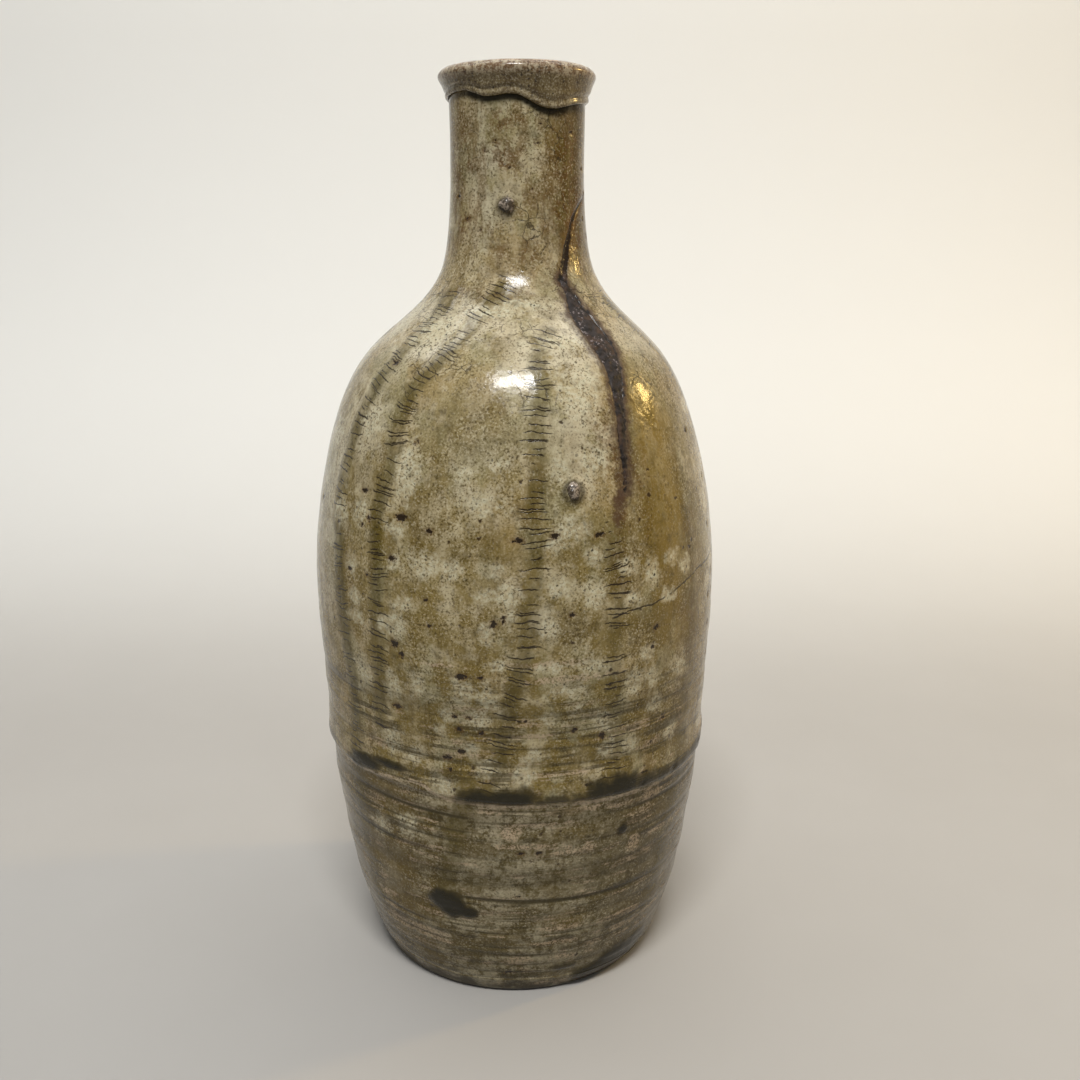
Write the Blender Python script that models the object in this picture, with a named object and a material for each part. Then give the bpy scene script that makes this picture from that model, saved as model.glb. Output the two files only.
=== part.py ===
"""Sake bottle: an old ash-glazed stoneware tokkuri of about one and a half litres.

The pot is modelled as the clay sections that a potter joins, one object for each: a base
slab, a lower wall thrown on it, an upper wall luted on at a tilted join, a separate neck
and a lip rolled over the neck's edge. The slag that fills the crack on the shoulder and
the two lumps of kiln grit are objects of their own.

Units are metres, +Z is up, and the origin is the centre of the foot on the table.
Azimuth is in degrees: 0 faces -Y, the front, and 90 faces +X.
"""

import math

import bmesh
import bpy
from mathutils import Vector

MM = 0.001
GAP = 0.3 * MM
SEGMENTS = 64

# Driving heights and thicknesses.
BASE_TOP = 6.0 * MM
FLOOR = 10.0 * MM
BODY_JOIN = 71.3 * MM
NECK_JOIN = 214.0 * MM
NECK_TOP = 264.7 * MM
BODY_WALL = 5.6 * MM
FOOT_WALL = 6.4 * MM
TONGUE = 6.0 * MM
NECK_TONGUE = 5.0 * MM
NECK_TONGUE_WALL = 2.5 * MM
FLOOR_RADIUS = 41.0 * MM
FOOT_RADIUS = 43.3 * MM
FOOT_EDGE = 0.9 * MM

# The join of the two walls slopes down towards +X, and the neck stands a little to +X.
JOIN_SLOPE = -0.033
NECK_DRIFT = 1.2 * MM
DRIFT_START = 175.0 * MM
DRIFT_END = 215.0 * MM

# (height, radius) in mm, outside from foot to rim, and the inside of the neck.
OUTSIDE = (
    (0.0, 44.3), (6.0, 47.6), (20.0, 52.0), (40.0, 56.0), (60.0, 58.8), (90.0, 60.9),
    (120.0, 62.0), (140.0, 60.5), (160.0, 56.8), (175.0, 52.3), (186.0, 47.1),
    (192.0, 42.6), (198.0, 36.4), (204.0, 29.4), (210.0, 24.6), (218.0, 21.0),
    (230.0, 19.6), (246.0, 19.0), (265.0, 19.3),
)
NECK_INSIDE = ((213.0, 16.4), (219.0, 15.4), (228.0, 14.6), (255.0, 14.6), (270.0, 15.6))

# Heights in mm of the rings between the joins.
LOWER_RINGS = (14.0, 24.0, 36.0, 48.0, 60.0)
HOLLOW_TOP = 188.0 * MM
UPPER_RINGS = (
    84.0, 98.0, 112.0, 124.0, 136.0, 148.0, 159.0, 169.0, 178.0, 185.0, 190.5, 196.0,
    201.0, 206.0, 210.0,
)
NECK_RINGS = (220.0, 228.0, 238.0, 250.0)
# (radius, height) in mm inside the shoulder, where the wall thickens towards the neck.
SHOULDER_INSIDE = ((19.4, 206.0), (24.6, 199.5), (31.2, 194.0))

# The lip's section in mm: its widest height and radius, and the rounding at its top.
LIP_WIDEST = (267.2, 22.7)
LIP_SHOULDER = (269.2, 22.0)
LIP_CROWN = (270.0, 20.0)
LIP_MOUTH = (268.9, 16.2)
LIP_FLARE = 0.62
LIP_EDGE_THICKNESS = 1.0
# The lip's free edge all the way round: (azimuth, height in mm).
LIP_EDGE = (
    (-180.0, 259.0), (-130.0, 260.6), (-90.0, 261.8), (-54.0, 262.8), (-36.0, 261.8),
    (-20.0, 260.9), (-6.0, 261.2), (8.0, 260.0), (20.0, 258.3), (32.0, 257.6),
    (46.0, 258.2), (62.0, 259.6), (90.0, 260.8), (135.0, 259.4), (180.0, 259.0),
)

# The crack on the shoulder: (azimuth, height in mm, half width in mm) down its length.
CRACK = (
    (34.0, 209.0, 1.7), (34.2, 205.0, 3.5), (36.0, 200.0, 3.9), (37.0, 195.0, 4.2),
    (36.8, 190.0, 3.3), (35.2, 184.0, 2.6), (33.8, 177.0, 2.1), (32.6, 170.0, 1.7),
    (32.0, 163.0, 1.2),
)
CRACK_DEPTH = 1.5 * MM
CRACK_CROWN = 0.35 * MM
CUTTER_HEIGHT = 4.0 * MM

# Lumps of grit: azimuth, height, half width, half height and how far they stand out, in mm.
NECK_GRIT = (-9.0, 232.0, 2.3, 2.5, 1.9)
BELLY_GRIT = (15.5, 159.0, 2.5, 2.8, 2.2)
GRIT_ROUGHNESS = 0.12

COLOURS = {
    "base_clay": ((0.16, 0.12, 0.075), 0.75),
    "lower_glaze": ((0.17, 0.135, 0.065), 0.35),
    "upper_glaze": ((0.27, 0.22, 0.12), 0.28),
    "neck_glaze": ((0.28, 0.23, 0.14), 0.3),
    "lip_glaze": ((0.22, 0.16, 0.08), 0.32),
    "crack_slag": ((0.03, 0.024, 0.024), 0.5),
    "kiln_grit": ((0.2, 0.16, 0.13), 0.6),
}


def curve_through(points):
    """A smooth function through (x, y) points that never overshoots them."""
    xs = [x for x, _ in points]
    ys = [y for _, y in points]
    steps = [b - a for a, b in zip(xs, xs[1:])]
    slopes = [(b - a) / step for a, b, step in zip(ys, ys[1:], steps)]
    tangents = [slopes[0]]
    for before, after in zip(slopes, slopes[1:]):
        flat = before * after <= 0.0
        tangents.append(0.0 if flat else 2.0 * before * after / (before + after))
    tangents.append(slopes[-1])

    def value(x):
        i = max(0, min(len(steps) - 1, sum(1 for edge in xs[1:-1] if x >= edge)))
        t = (x - xs[i]) / steps[i]
        rise = (3.0 - 2.0 * t) * t * t * (ys[i + 1] - ys[i])
        start = t * (1.0 - t) ** 2 * steps[i] * tangents[i]
        end = t * t * (1.0 - t) * steps[i] * tangents[i + 1]
        return ys[i] + rise + start - end

    return value


outside_mm = curve_through(OUTSIDE)
neck_inside_mm = curve_through(NECK_INSIDE)
lip_edge_mm = curve_through(LIP_EDGE)


def outside(height):
    """The glazed surface's radius at a height."""
    return outside_mm(height / MM) * MM


def inside(height):
    """The radius of the hollow at a height, square to the slope of the wall."""
    step = 0.5 * MM
    slope = (outside(height + step) - outside(height - step)) / (2.0 * step)
    return outside(height) - BODY_WALL * math.hypot(1.0, slope)


def neck_inside(height):
    return neck_inside_mm(height / MM) * MM


def centre_x(height):
    """How far the pot's middle has drifted to +X at a height."""
    t = max(0.0, min(1.0, (height - DRIFT_START) / (DRIFT_END - DRIFT_START)))
    return NECK_DRIFT * t * t * (3.0 - 2.0 * t)


def place(azimuth, radius, height):
    """The point at an azimuth in degrees, a radius and a height."""
    angle = math.radians(azimuth)
    x = centre_x(height) + radius * math.sin(angle)
    return Vector((x, -radius * math.cos(angle), height))


def join_height(azimuth, radius):
    return BODY_JOIN + JOIN_SLOPE * radius * math.sin(math.radians(azimuth))


def level(radius, height):
    """A ring at one radius and height all the way round."""
    return lambda azimuth: (radius, height)


def join_ring(radius, rise):
    """A ring that follows the tilted join, or lies a little above it."""
    return lambda azimuth: (radius, join_height(azimuth, radius) + rise)


def outer_join_ring(rise):
    def ring(azimuth):
        height = join_height(azimuth, outside(BODY_JOIN)) + rise
        return outside(height), height

    return ring


def make_material(name):
    colour, roughness = COLOURS[name]
    material = bpy.data.materials.new(name)
    material.use_nodes = True
    shader = material.node_tree.nodes["Principled BSDF"]
    shader.inputs["Base Color"].default_value = (*colour, 1.0)
    shader.inputs["Roughness"].default_value = roughness
    shader.inputs["Metallic"].default_value = 0.0
    return material


def add_object(name, mesh_builder, material):
    """Turns a bmesh into an object that is shaded smooth and keeps its sharp edges."""
    mesh = bpy.data.meshes.new(name)
    mesh_builder.normal_update()
    bmesh.ops.recalc_face_normals(mesh_builder, faces=mesh_builder.faces)
    mesh_builder.to_mesh(mesh)
    mesh_builder.free()
    mesh.shade_smooth()
    mesh.set_sharp_from_angle(angle=math.radians(35.0))
    mesh.materials.append(material)
    body = bpy.data.objects.new(name, mesh)
    bpy.context.collection.objects.link(body)
    return body


def turned(name, rings, material, solid_centre=False):
    """A turned piece. Its rings go round its section; a solid one is capped top and bottom."""
    builder = bmesh.new()
    loops = []
    for ring in rings:
        loop = []
        for step in range(SEGMENTS):
            azimuth = -180.0 + 360.0 * step / SEGMENTS
            loop.append(builder.verts.new(place(azimuth, *ring(azimuth))))
        loops.append(loop)
    pairs = list(zip(loops, loops[1:]))
    if not solid_centre:
        pairs.append((loops[-1], loops[0]))
    for first, second in pairs:
        for step in range(SEGMENTS):
            after = (step + 1) % SEGMENTS
            builder.faces.new((first[step], first[after], second[after], second[step]))
    if solid_centre:
        builder.faces.new(loops[0])
        builder.faces.new(loops[-1])
    return add_object(name, builder, material)


def make_base_disc():
    rings = [
        level(FOOT_RADIUS, 0.0),
        level(outside(0.0) + 0.5 * MM, FOOT_EDGE),
        level(outside(BASE_TOP), BASE_TOP),
        level(FLOOR_RADIUS, BASE_TOP),
        level(FLOOR_RADIUS, FLOOR),
    ]
    return turned("base_disc", rings, make_material("base_clay"), solid_centre=True)


def make_lower_body():
    foot = BASE_TOP + GAP
    tongue_radius = outside(BODY_JOIN) - 0.5 * BODY_WALL
    rings = [level(outside(foot), foot)]
    rings += [level(outside(height * MM), height * MM) for height in LOWER_RINGS]
    rings += [
        outer_join_ring(0.0),
        join_ring(tongue_radius, 0.0),
        join_ring(tongue_radius, TONGUE),
        join_ring(inside(BODY_JOIN), TONGUE),
    ]
    rings += [level(inside(height * MM), height * MM) for height in LOWER_RINGS[:0:-1]]
    rings += [
        level(outside(LOWER_RINGS[0] * MM) - FOOT_WALL, LOWER_RINGS[0] * MM),
        level(FLOOR_RADIUS + GAP, FLOOR),
        level(FLOOR_RADIUS + GAP, foot),
    ]
    return turned("lower_body", rings, make_material("lower_glaze"))


def make_upper_body():
    rebate_radius = outside(BODY_JOIN) - 0.5 * BODY_WALL + GAP
    tongue_radius = neck_inside(NECK_JOIN) + NECK_TONGUE_WALL
    tongue_top = NECK_JOIN + NECK_TONGUE
    rings = [outer_join_ring(GAP)]
    rings += [level(outside(height * MM), height * MM) for height in UPPER_RINGS]
    rings += [
        level(outside(NECK_JOIN), NECK_JOIN),
        level(tongue_radius, NECK_JOIN),
        level(tongue_radius, tongue_top),
        level(neck_inside(tongue_top), tongue_top),
        level(neck_inside(NECK_JOIN), NECK_JOIN),
    ]
    rings += [level(radius * MM, height * MM) for radius, height in SHOULDER_INSIDE]
    hollow = [height * MM for height in UPPER_RINGS if height * MM < HOLLOW_TOP]
    rings += [level(inside(height), height) for height in hollow[::-1]]
    rings += [
        join_ring(inside(BODY_JOIN), TONGUE + GAP),
        join_ring(rebate_radius, TONGUE + GAP),
        join_ring(rebate_radius, GAP),
    ]
    body = turned("upper_body", rings, make_material("upper_glaze"))
    cutter = crack_solid("crack_cutter", GAP, CRACK_DEPTH, CUTTER_HEIGHT, None)
    cutter.hide_render = True
    cutter.display_type = "WIRE"
    groove = body.modifiers.new("crack_groove", "BOOLEAN")
    groove.operation = "DIFFERENCE"
    groove.solver = "EXACT"
    groove.object = cutter
    return body


def make_neck():
    foot = NECK_JOIN + GAP
    rebate_radius = neck_inside(NECK_JOIN) + NECK_TONGUE_WALL + GAP
    rebate_top = NECK_JOIN + NECK_TONGUE + GAP
    rings = [level(outside(foot), foot)]
    rings += [level(outside(height * MM), height * MM) for height in NECK_RINGS]
    rings += [
        level(outside(NECK_TOP), NECK_TOP),
        level(neck_inside(NECK_TOP), NECK_TOP),
    ]
    rings += [level(neck_inside(height * MM), height * MM) for height in NECK_RINGS[:0:-1]]
    rings += [
        level(neck_inside(rebate_top), rebate_top),
        level(rebate_radius, rebate_top),
        level(rebate_radius, foot),
    ]
    return turned("neck", rings, make_material("neck_glaze"))


def make_folded_lip():
    """The rolled lip: a crown over the neck's edge and a skirt with a wavy free edge."""
    crown_underside = NECK_TOP + GAP
    neck_face = outside(NECK_TOP) + GAP

    def skirt(azimuth):
        height = lip_edge_mm(azimuth) * MM
        return neck_face + LIP_EDGE_THICKNESS * MM, height

    def under_skirt(azimuth):
        return neck_face, lip_edge_mm(azimuth) * MM

    def belly(azimuth):
        edge = lip_edge_mm(azimuth) * MM
        height = edge + LIP_FLARE * (LIP_WIDEST[0] * MM - edge)
        radius = neck_face + LIP_EDGE_THICKNESS * MM
        return radius + LIP_FLARE * (LIP_WIDEST[1] * MM - radius), height

    rings = [
        skirt,
        belly,
        level(LIP_WIDEST[1] * MM, LIP_WIDEST[0] * MM),
        level(LIP_SHOULDER[1] * MM, LIP_SHOULDER[0] * MM),
        level(LIP_CROWN[1] * MM, LIP_CROWN[0] * MM),
        level(LIP_MOUTH[1] * MM, LIP_MOUTH[0] * MM),
        level(neck_inside(crown_underside), crown_underside),
        level(neck_face, crown_underside),
        under_skirt,
    ]
    return turned("folded_lip", rings, make_material("lip_glaze"))


def surface_frame(azimuth, height):
    """A point on the glazed surface, with the outward normal there."""
    step = 0.5 * MM
    slope = (outside(height + step) - outside(height - step)) / (2.0 * step)
    angle = math.radians(azimuth)
    normal = Vector((math.sin(angle), -math.cos(angle), -slope)).normalized()
    return place(azimuth, outside(height), height), normal


def crack_solid(name, margin, depth, crown, material):
    """A ribbon of solid that follows the crack, from a depth up to a crown over its middle."""
    frames = [surface_frame(azimuth, height * MM) for azimuth, height, _ in CRACK]
    builder = bmesh.new()
    loops = []
    for i, (point, normal) in enumerate(frames):
        before = frames[max(0, i - 1)][0]
        after = frames[min(len(frames) - 1, i + 1)][0]
        along = (after - before).normalized()
        side = along.cross(normal).normalized()
        ends = (i > 0) - (i < len(frames) - 1)
        half = CRACK[i][2] * MM + margin
        middle = point + along * margin * ends
        section = (
            middle - side * half - normal * depth,
            middle + side * half - normal * depth,
            middle + side * half + normal * 0.3 * crown,
            middle + normal * crown,
            middle - side * half + normal * 0.3 * crown,
        )
        loops.append([builder.verts.new(corner) for corner in section])
    for first, second in zip(loops, loops[1:]):
        for corner in range(len(first)):
            after = (corner + 1) % len(first)
            builder.faces.new((first[corner], first[after], second[after], second[corner]))
    builder.faces.new(loops[0])
    builder.faces.new(loops[-1])
    return add_object(name, builder, material)


def make_crack_slag():
    material = make_material("crack_slag")
    return crack_solid("crack_slag", 0.0, CRACK_DEPTH - GAP, CRACK_CROWN, material)


def make_grit(name, size, material):
    """An angular lump with a flat underside, a gap off the glaze."""
    azimuth, height, half_width, half_height, stand_out = size
    point, normal = surface_frame(azimuth, height * MM)
    upward = (Vector((0.0, 0.0, 1.0)) - normal * normal.z).normalized()
    sideways = upward.cross(normal)
    builder = bmesh.new()
    bmesh.ops.create_icosphere(builder, subdivisions=2, radius=1.0)
    for i, vertex in enumerate(builder.verts):
        swell = 1.0 + GRIT_ROUGHNESS * math.sin(2.6 * i + azimuth)
        across, up, out = vertex.co * swell
        vertex.co = (
            point
            + normal * GAP
            + sideways * across * half_width * MM
            + upward * up * half_height * MM
            + normal * max(0.0, out) * stand_out * MM
        )
    return add_object(name, builder, material)


def clear_scene():
    for old in list(bpy.data.objects):
        bpy.data.objects.remove(old, do_unlink=True)


clear_scene()
make_base_disc()
make_lower_body()
make_upper_body()
make_neck()
make_folded_lip()
make_crack_slag()
grit_material = make_material("kiln_grit")
make_grit("neck_grit", NECK_GRIT, grit_material)
make_grit("belly_grit", BELLY_GRIT, grit_material)
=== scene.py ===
"""Looks for the old ash-glazed sake bottle.

Each CAD section is replaced by a fine mesh of the same place and size. Its radius is read
from the CAD solids; throwing rings, the ledge at the join, glaze runs, drips, pits, the
shoulder crack and the wave of the lip are moved into the mesh. The same fields are stored
on the vertices, where the glaze material uses them for its colours and its gloss.

Lengths inside the fields are in millimetres, angles in degrees: azimuth 0 faces -Y and
grows towards +X.
"""

import functools
import math

import bmesh
import bpy
import numpy as np
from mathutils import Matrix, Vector
from mathutils.bvhtree import BVHTree


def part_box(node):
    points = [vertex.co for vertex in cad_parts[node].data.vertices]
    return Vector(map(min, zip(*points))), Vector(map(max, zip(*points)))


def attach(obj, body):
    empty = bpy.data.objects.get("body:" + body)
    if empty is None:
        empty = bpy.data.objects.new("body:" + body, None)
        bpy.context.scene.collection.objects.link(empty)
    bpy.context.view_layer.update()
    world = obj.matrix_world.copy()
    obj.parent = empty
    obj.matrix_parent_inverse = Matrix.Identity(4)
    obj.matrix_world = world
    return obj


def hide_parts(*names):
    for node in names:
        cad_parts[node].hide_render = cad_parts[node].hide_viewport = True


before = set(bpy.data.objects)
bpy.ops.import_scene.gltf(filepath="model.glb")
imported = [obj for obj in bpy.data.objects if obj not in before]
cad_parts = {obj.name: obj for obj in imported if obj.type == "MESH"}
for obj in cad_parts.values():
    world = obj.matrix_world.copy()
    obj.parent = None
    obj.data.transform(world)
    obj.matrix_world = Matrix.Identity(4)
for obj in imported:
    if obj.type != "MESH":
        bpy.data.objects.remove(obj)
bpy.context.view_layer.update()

MM = 0.001
WALL_NODES = ("base_disc", "lower_body", "upper_body", "neck")


# ---------------------------------------------------------------- numbers and noise

def smooth(low, high, value):
    """0 below low, 1 above high, and a smooth ramp between."""
    t = np.clip((value - low) / (high - low), 0.0, 1.0)
    return t * t * (3.0 - 2.0 * t)


def bell(value, width):
    return np.exp(-((value / width) ** 2))


def lattice(ix, iy, iz, seed):
    """A repeatable number from 0 to 1 for each whole-numbered lattice point."""
    h = ix * 374761393 + iy * 668265263 + iz * 2147483647 + seed * 1274126177
    h = (h ^ (h >> 13)) * 1103515245
    h = (h ^ (h >> 16)) & 0xFFFFFF
    return h / float(0xFFFFFF)


def noise(points, size, seed):
    """Smooth value noise from -1 to 1 over rows of x, y, z, with features of a size in mm."""
    p = points / size + 1000.0
    base = np.floor(p).astype(np.int64)
    t = p - base
    t = t * t * (3.0 - 2.0 * t)
    total = 0.0
    for dx in (0, 1):
        for dy in (0, 1):
            for dz in (0, 1):
                weight = np.abs(1 - dx - t[..., 0]) * np.abs(1 - dy - t[..., 1])
                weight = weight * np.abs(1 - dz - t[..., 2])
                corner = lattice(base[..., 0] + dx, base[..., 1] + dy, base[..., 2] + dz, seed)
                total = total + weight * corner
    return 2.0 * total - 1.0


def rough(points, size, seed, octaves=3):
    """Noise summed over octaves."""
    total = 0.0
    for octave in range(octaves):
        total = total + noise(points, size / 2.0**octave, seed + octave) / 2.0**octave
    return total / 1.6


def curve_at(places, values, wanted):
    """Values at the wanted places on a smooth curve through the known ones."""
    slopes = np.gradient(values, places, axis=0)
    i = np.clip(np.searchsorted(places, wanted, side="right") - 1, 0, len(places) - 2)
    shape = np.shape(wanted) + (1,) * (values.ndim - 1)
    span = (places[i + 1] - places[i]).reshape(shape)
    t = (wanted - places[i]).reshape(shape) / span
    start = values[i] * (1 + 2 * t) * (1 - t) ** 2 + slopes[i] * span * t * (1 - t) ** 2
    end = values[i + 1] * t * t * (3 - 2 * t) - slopes[i + 1] * span * t * t * (1 - t)
    return start + end


def running_length(*steps):
    """Distance from the first place to each place, from the steps between them."""
    return np.concatenate([[0.0], np.cumsum(np.hypot(*steps))])


def short_turn(degrees):
    """The same turn, between -180 and 180 degrees."""
    return (degrees + 180.0) % 360.0 - 180.0


# ---------------------------------------------------------------- the CAD wall

def wall_tree():
    """One search tree over the wall nodes, in mm."""
    corners, faces = [], []
    for name in WALL_NODES:
        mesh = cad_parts[name].data
        start = len(corners)
        corners += [v.co / MM for v in mesh.vertices]
        faces += [[start + i for i in face.vertices] for face in mesh.polygons]
    return BVHTree.FromPolygons(corners, faces)


def read_wall():
    """Heights in mm with the outside radius and the centre's x, read from the CAD."""
    tree = wall_tree()
    heights = np.arange(1.0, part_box("neck")[1].z / MM - 1.0, 1.0)
    outside = 200.0

    def reach(direction, height):
        hits = []
        for lift in (-0.7, 0.0, 0.7):
            start = Vector((0.0, 0.0, height + lift)) + direction * outside
            hit = tree.ray_cast(start, -direction)[0]
            if hit is not None:
                hits.append(hit.dot(direction))
        return sum(sorted(hits)[-2:]) / 2.0

    rows = []
    for height in heights:
        right, left, back, front = (
            reach(Vector((x, y, 0.0)), height) for x, y in ((1, 0), (-1, 0), (0, 1), (0, -1))
        )
        rows.append(((right + left + back + front) / 4.0, (right - left) / 2.0))
    return heights, np.array(rows)


def spread(values, width):
    """A row of samples blurred by a bell, its ends carried on in a straight line."""
    reach = int(4 * width)
    kernel = bell(np.arange(-reach, reach + 1), width * math.sqrt(2.0))
    steps = np.arange(1, reach + 1)
    before = values[0] - (values[3] - values[0]) / 3.0 * steps[::-1]
    after = values[-1] + (values[-1] - values[-4]) / 3.0 * steps
    padded = np.concatenate([before, values, after])
    return np.convolve(padded, kernel / kernel.sum(), "valid")


WALL_HEIGHTS, WALL = read_wall()
FINE_HEIGHTS = np.arange(0.0, 272.0, 0.05)


def fine_table(values, width):
    """Samples at 1 mm blurred and spread over FINE_HEIGHTS, carried on past both ends."""
    soft = spread(values, width)
    first = np.interp(FINE_HEIGHTS, WALL_HEIGHTS, soft)
    below = FINE_HEIGHTS < WALL_HEIGHTS[0]
    above = FINE_HEIGHTS > WALL_HEIGHTS[-1]
    low_slope = soft[1] - soft[0]
    first[below] = soft[0] + low_slope * (FINE_HEIGHTS[below] - WALL_HEIGHTS[0])
    first[above] = soft[-1]
    return spread(first, 12.0)


RADIUS = fine_table(WALL[:, 0], 2.2)
CENTRE = fine_table(WALL[:, 1], 3.0)


def radius_at(height):
    return np.interp(height, FINE_HEIGHTS, RADIUS)


def centre_at(height):
    return np.interp(height, FINE_HEIGHTS, CENTRE)


ARC = running_length(np.diff(FINE_HEIGHTS), np.diff(RADIUS))


def arc_at(height):
    """Distance up along the wall from the foot, in mm."""
    return np.interp(height, FINE_HEIGHTS, ARC)


def height_at(arc):
    return np.interp(arc, ARC, FINE_HEIGHTS)


# ---------------------------------------------------------------- the grid of the glazed skin

COLUMNS = 450
ROW_STEP = 0.85
FOOT_LEVEL = 1.0
BASE_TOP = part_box("lower_body")[0].z / MM - 0.15
NECK_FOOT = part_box("neck")[0].z / MM - 0.15
NECK_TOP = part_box("neck")[1].z / MM
JOIN_FRONT = 71.3
JOIN_SLOPE = -0.033
JOIN_REACH = 26.0


def azimuths():
    return np.linspace(-180.0, 180.0, COLUMNS, endpoint=False)


def rows_between(low, high, step=ROW_STEP):
    """Heights from low to high, evenly spaced along the wall."""
    start, end = arc_at(low), arc_at(high)
    count = max(2, int(round((end - start) / step)) + 1)
    return height_at(np.linspace(start, end, count))


def tilt(levels, azimuth):
    """Rows near the join slope with it; rows far from it stay level."""
    x = radius_at(levels) * np.sin(np.radians(azimuth))
    return levels + JOIN_SLOPE * x * bell(levels - JOIN_FRONT, JOIN_REACH)


class Skin:
    """Points on the glazed surface: azimuth, height, arc and position of each."""

    def __init__(self, azimuth, height):
        self.azimuth = azimuth
        self.height = height
        self.radius = radius_at(height)
        self.arc = arc_at(height)
        self.angle = np.radians(azimuth)
        self.points = self.moved(0.0)

    def moved(self, outwards):
        """Positions in mm, moved outwards square to the wall."""
        step = 0.4
        slope = (radius_at(self.height + step) - radius_at(self.height - step)) / (2 * step)
        length = np.hypot(1.0, slope)
        out = self.radius + outwards / length
        x = centre_at(self.height) + out * np.sin(self.angle)
        y = -out * np.cos(self.angle)
        return np.stack([x, y, self.height - outwards * slope / length], axis=-1)

    def offset(self, azimuth, height):
        """How far each point lies across and up from a place, in mm along the surface."""
        across = np.radians(short_turn(self.azimuth - azimuth)) * self.radius
        return across, self.arc - arc_at(height)


CUTS = (FOOT_LEVEL, BASE_TOP, JOIN_FRONT, NECK_FOOT, NECK_TOP)
LEVELS = np.concatenate(
    [[FOOT_LEVEL]] + [rows_between(low, high)[1:] for low, high in zip(CUTS, CUTS[1:])]
)
AZIMUTH, LEVEL = np.meshgrid(azimuths(), LEVELS)
skin = Skin(AZIMUTH, tilt(LEVEL, AZIMUTH))


# ---------------------------------------------------------------- strokes and spots

def path_through(spots, step=2.0):
    """Azimuths and heights every step mm along a smooth curve through a stroke's places."""
    azimuth, height = np.array(spots, float).T[:2]
    mid = radius_at(height) * np.radians(azimuth)
    length = running_length(np.diff(mid), np.diff(arc_at(height)))
    places = np.linspace(0.0, length[-1], max(8, int(length[-1] / step)))
    return curve_at(length, azimuth, places), curve_at(length, height, places), places


def beside(surface, spots):
    """Where each point lies beside a stroke, in mm.

    Gives the signed distance across the stroke, the distance along it, the distance past its
    ends and the distance to its nearest place.
    """
    azimuths_along, heights_along, places = path_through(spots)
    nearest = np.full(surface.height.shape, 1e9)
    across = np.full(surface.height.shape, 1e3)
    along = np.zeros(surface.height.shape)
    for i in range(len(places)):
        right, up = surface.offset(azimuths_along[i], heights_along[i])
        distance = right * right + up * up
        closer = distance < nearest
        nearest = np.where(closer, distance, nearest)
        j, k = max(0, i - 1), min(len(places) - 1, i + 1)
        turn = math.radians(azimuths_along[k] - azimuths_along[j])
        dx = turn * float(radius_at(heights_along[i]))
        dy = float(arc_at(heights_along[k]) - arc_at(heights_along[j]))
        size = math.hypot(dx, dy)
        side = (right * dy - up * dx) / size
        run = places[i] + (right * dx + up * dy) / size
        across = np.where(closer, side, across)
        along = np.where(closer, run, along)
    beyond = np.maximum(np.maximum(-along, along - places[-1]), 0.0)
    return across, along, beyond, np.sqrt(nearest)


# Glaze runs down the wall: places (azimuth, height), half width in mm, strength, laddered.
RUNS = {
    "left_edge": (((-44, 208), (-49, 192), (-54, 178), (-56, 165), (-57, 152), (-55, 140),
                   (-53, 124), (-51, 108), (-50, 92), (-51, 78)), 2.9, 0.85, True),
    "left": (((-10, 210), (-20, 202), (-26, 194), (-32, 186), (-36, 178), (-36, 168), (-38, 158),
              (-39, 148), (-38, 136), (-38, 120), (-39, 104), (-40, 90)), 2.3, 0.85, True),
    "middle": (((14, 199), (9, 194), (8, 184), (6, 174), (6, 164), (5, 154), (5, 142), (4, 130),
                (2, 116), (-1, 104), (-3, 94), (-5, 84), (-7, 76)), 2.2, 0.74, True),
    "right": (((26, 148), (27, 132), (26, 118), (26, 104), (27, 92), (27, 78)), 2.2, 0.52, True),
    "low_left": (((-13, 76), (-16, 66), (-18, 56), (-20, 47), (-22, 39)), 2.6, 0.9, False),
    "far_right": (((52, 150), (55, 130), (56, 110), (55, 90), (54, 70), (52, 48), (50, 26)),
                  3.6, 0.6, False),
    "foot_left": (((-50, 74), (-52, 60), (-53, 44), (-54, 24)), 3.8, 0.55, False),
    "side_right": (((70, 206), (76, 190), (80, 170), (82, 145), (81, 118), (80, 92)),
                   2.8, 0.8, True),
    "back_right": (((112, 208), (118, 188), (122, 165), (121, 140), (123, 112), (122, 86),
                    (120, 62)), 3.2, 0.85, True),
    "back": (((150, 210), (157, 190), (160, 168), (163, 140), (162, 112), (164, 88)),
             2.4, 0.75, True),
    "back_left": (((-160, 208), (-152, 190), (-148, 166), (-149, 140), (-147, 110), (-148, 82),
                   (-146, 58)), 2.9, 0.85, True),
    "side_left": (((-84, 207), (-90, 190), (-95, 168), (-97, 142), (-95, 114), (-96, 86)),
                  2.6, 0.8, True),
    "side_left_short": (((-118, 190), (-121, 170), (-122, 148), (-120, 128)), 2.2, 0.6, False),
}

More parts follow.
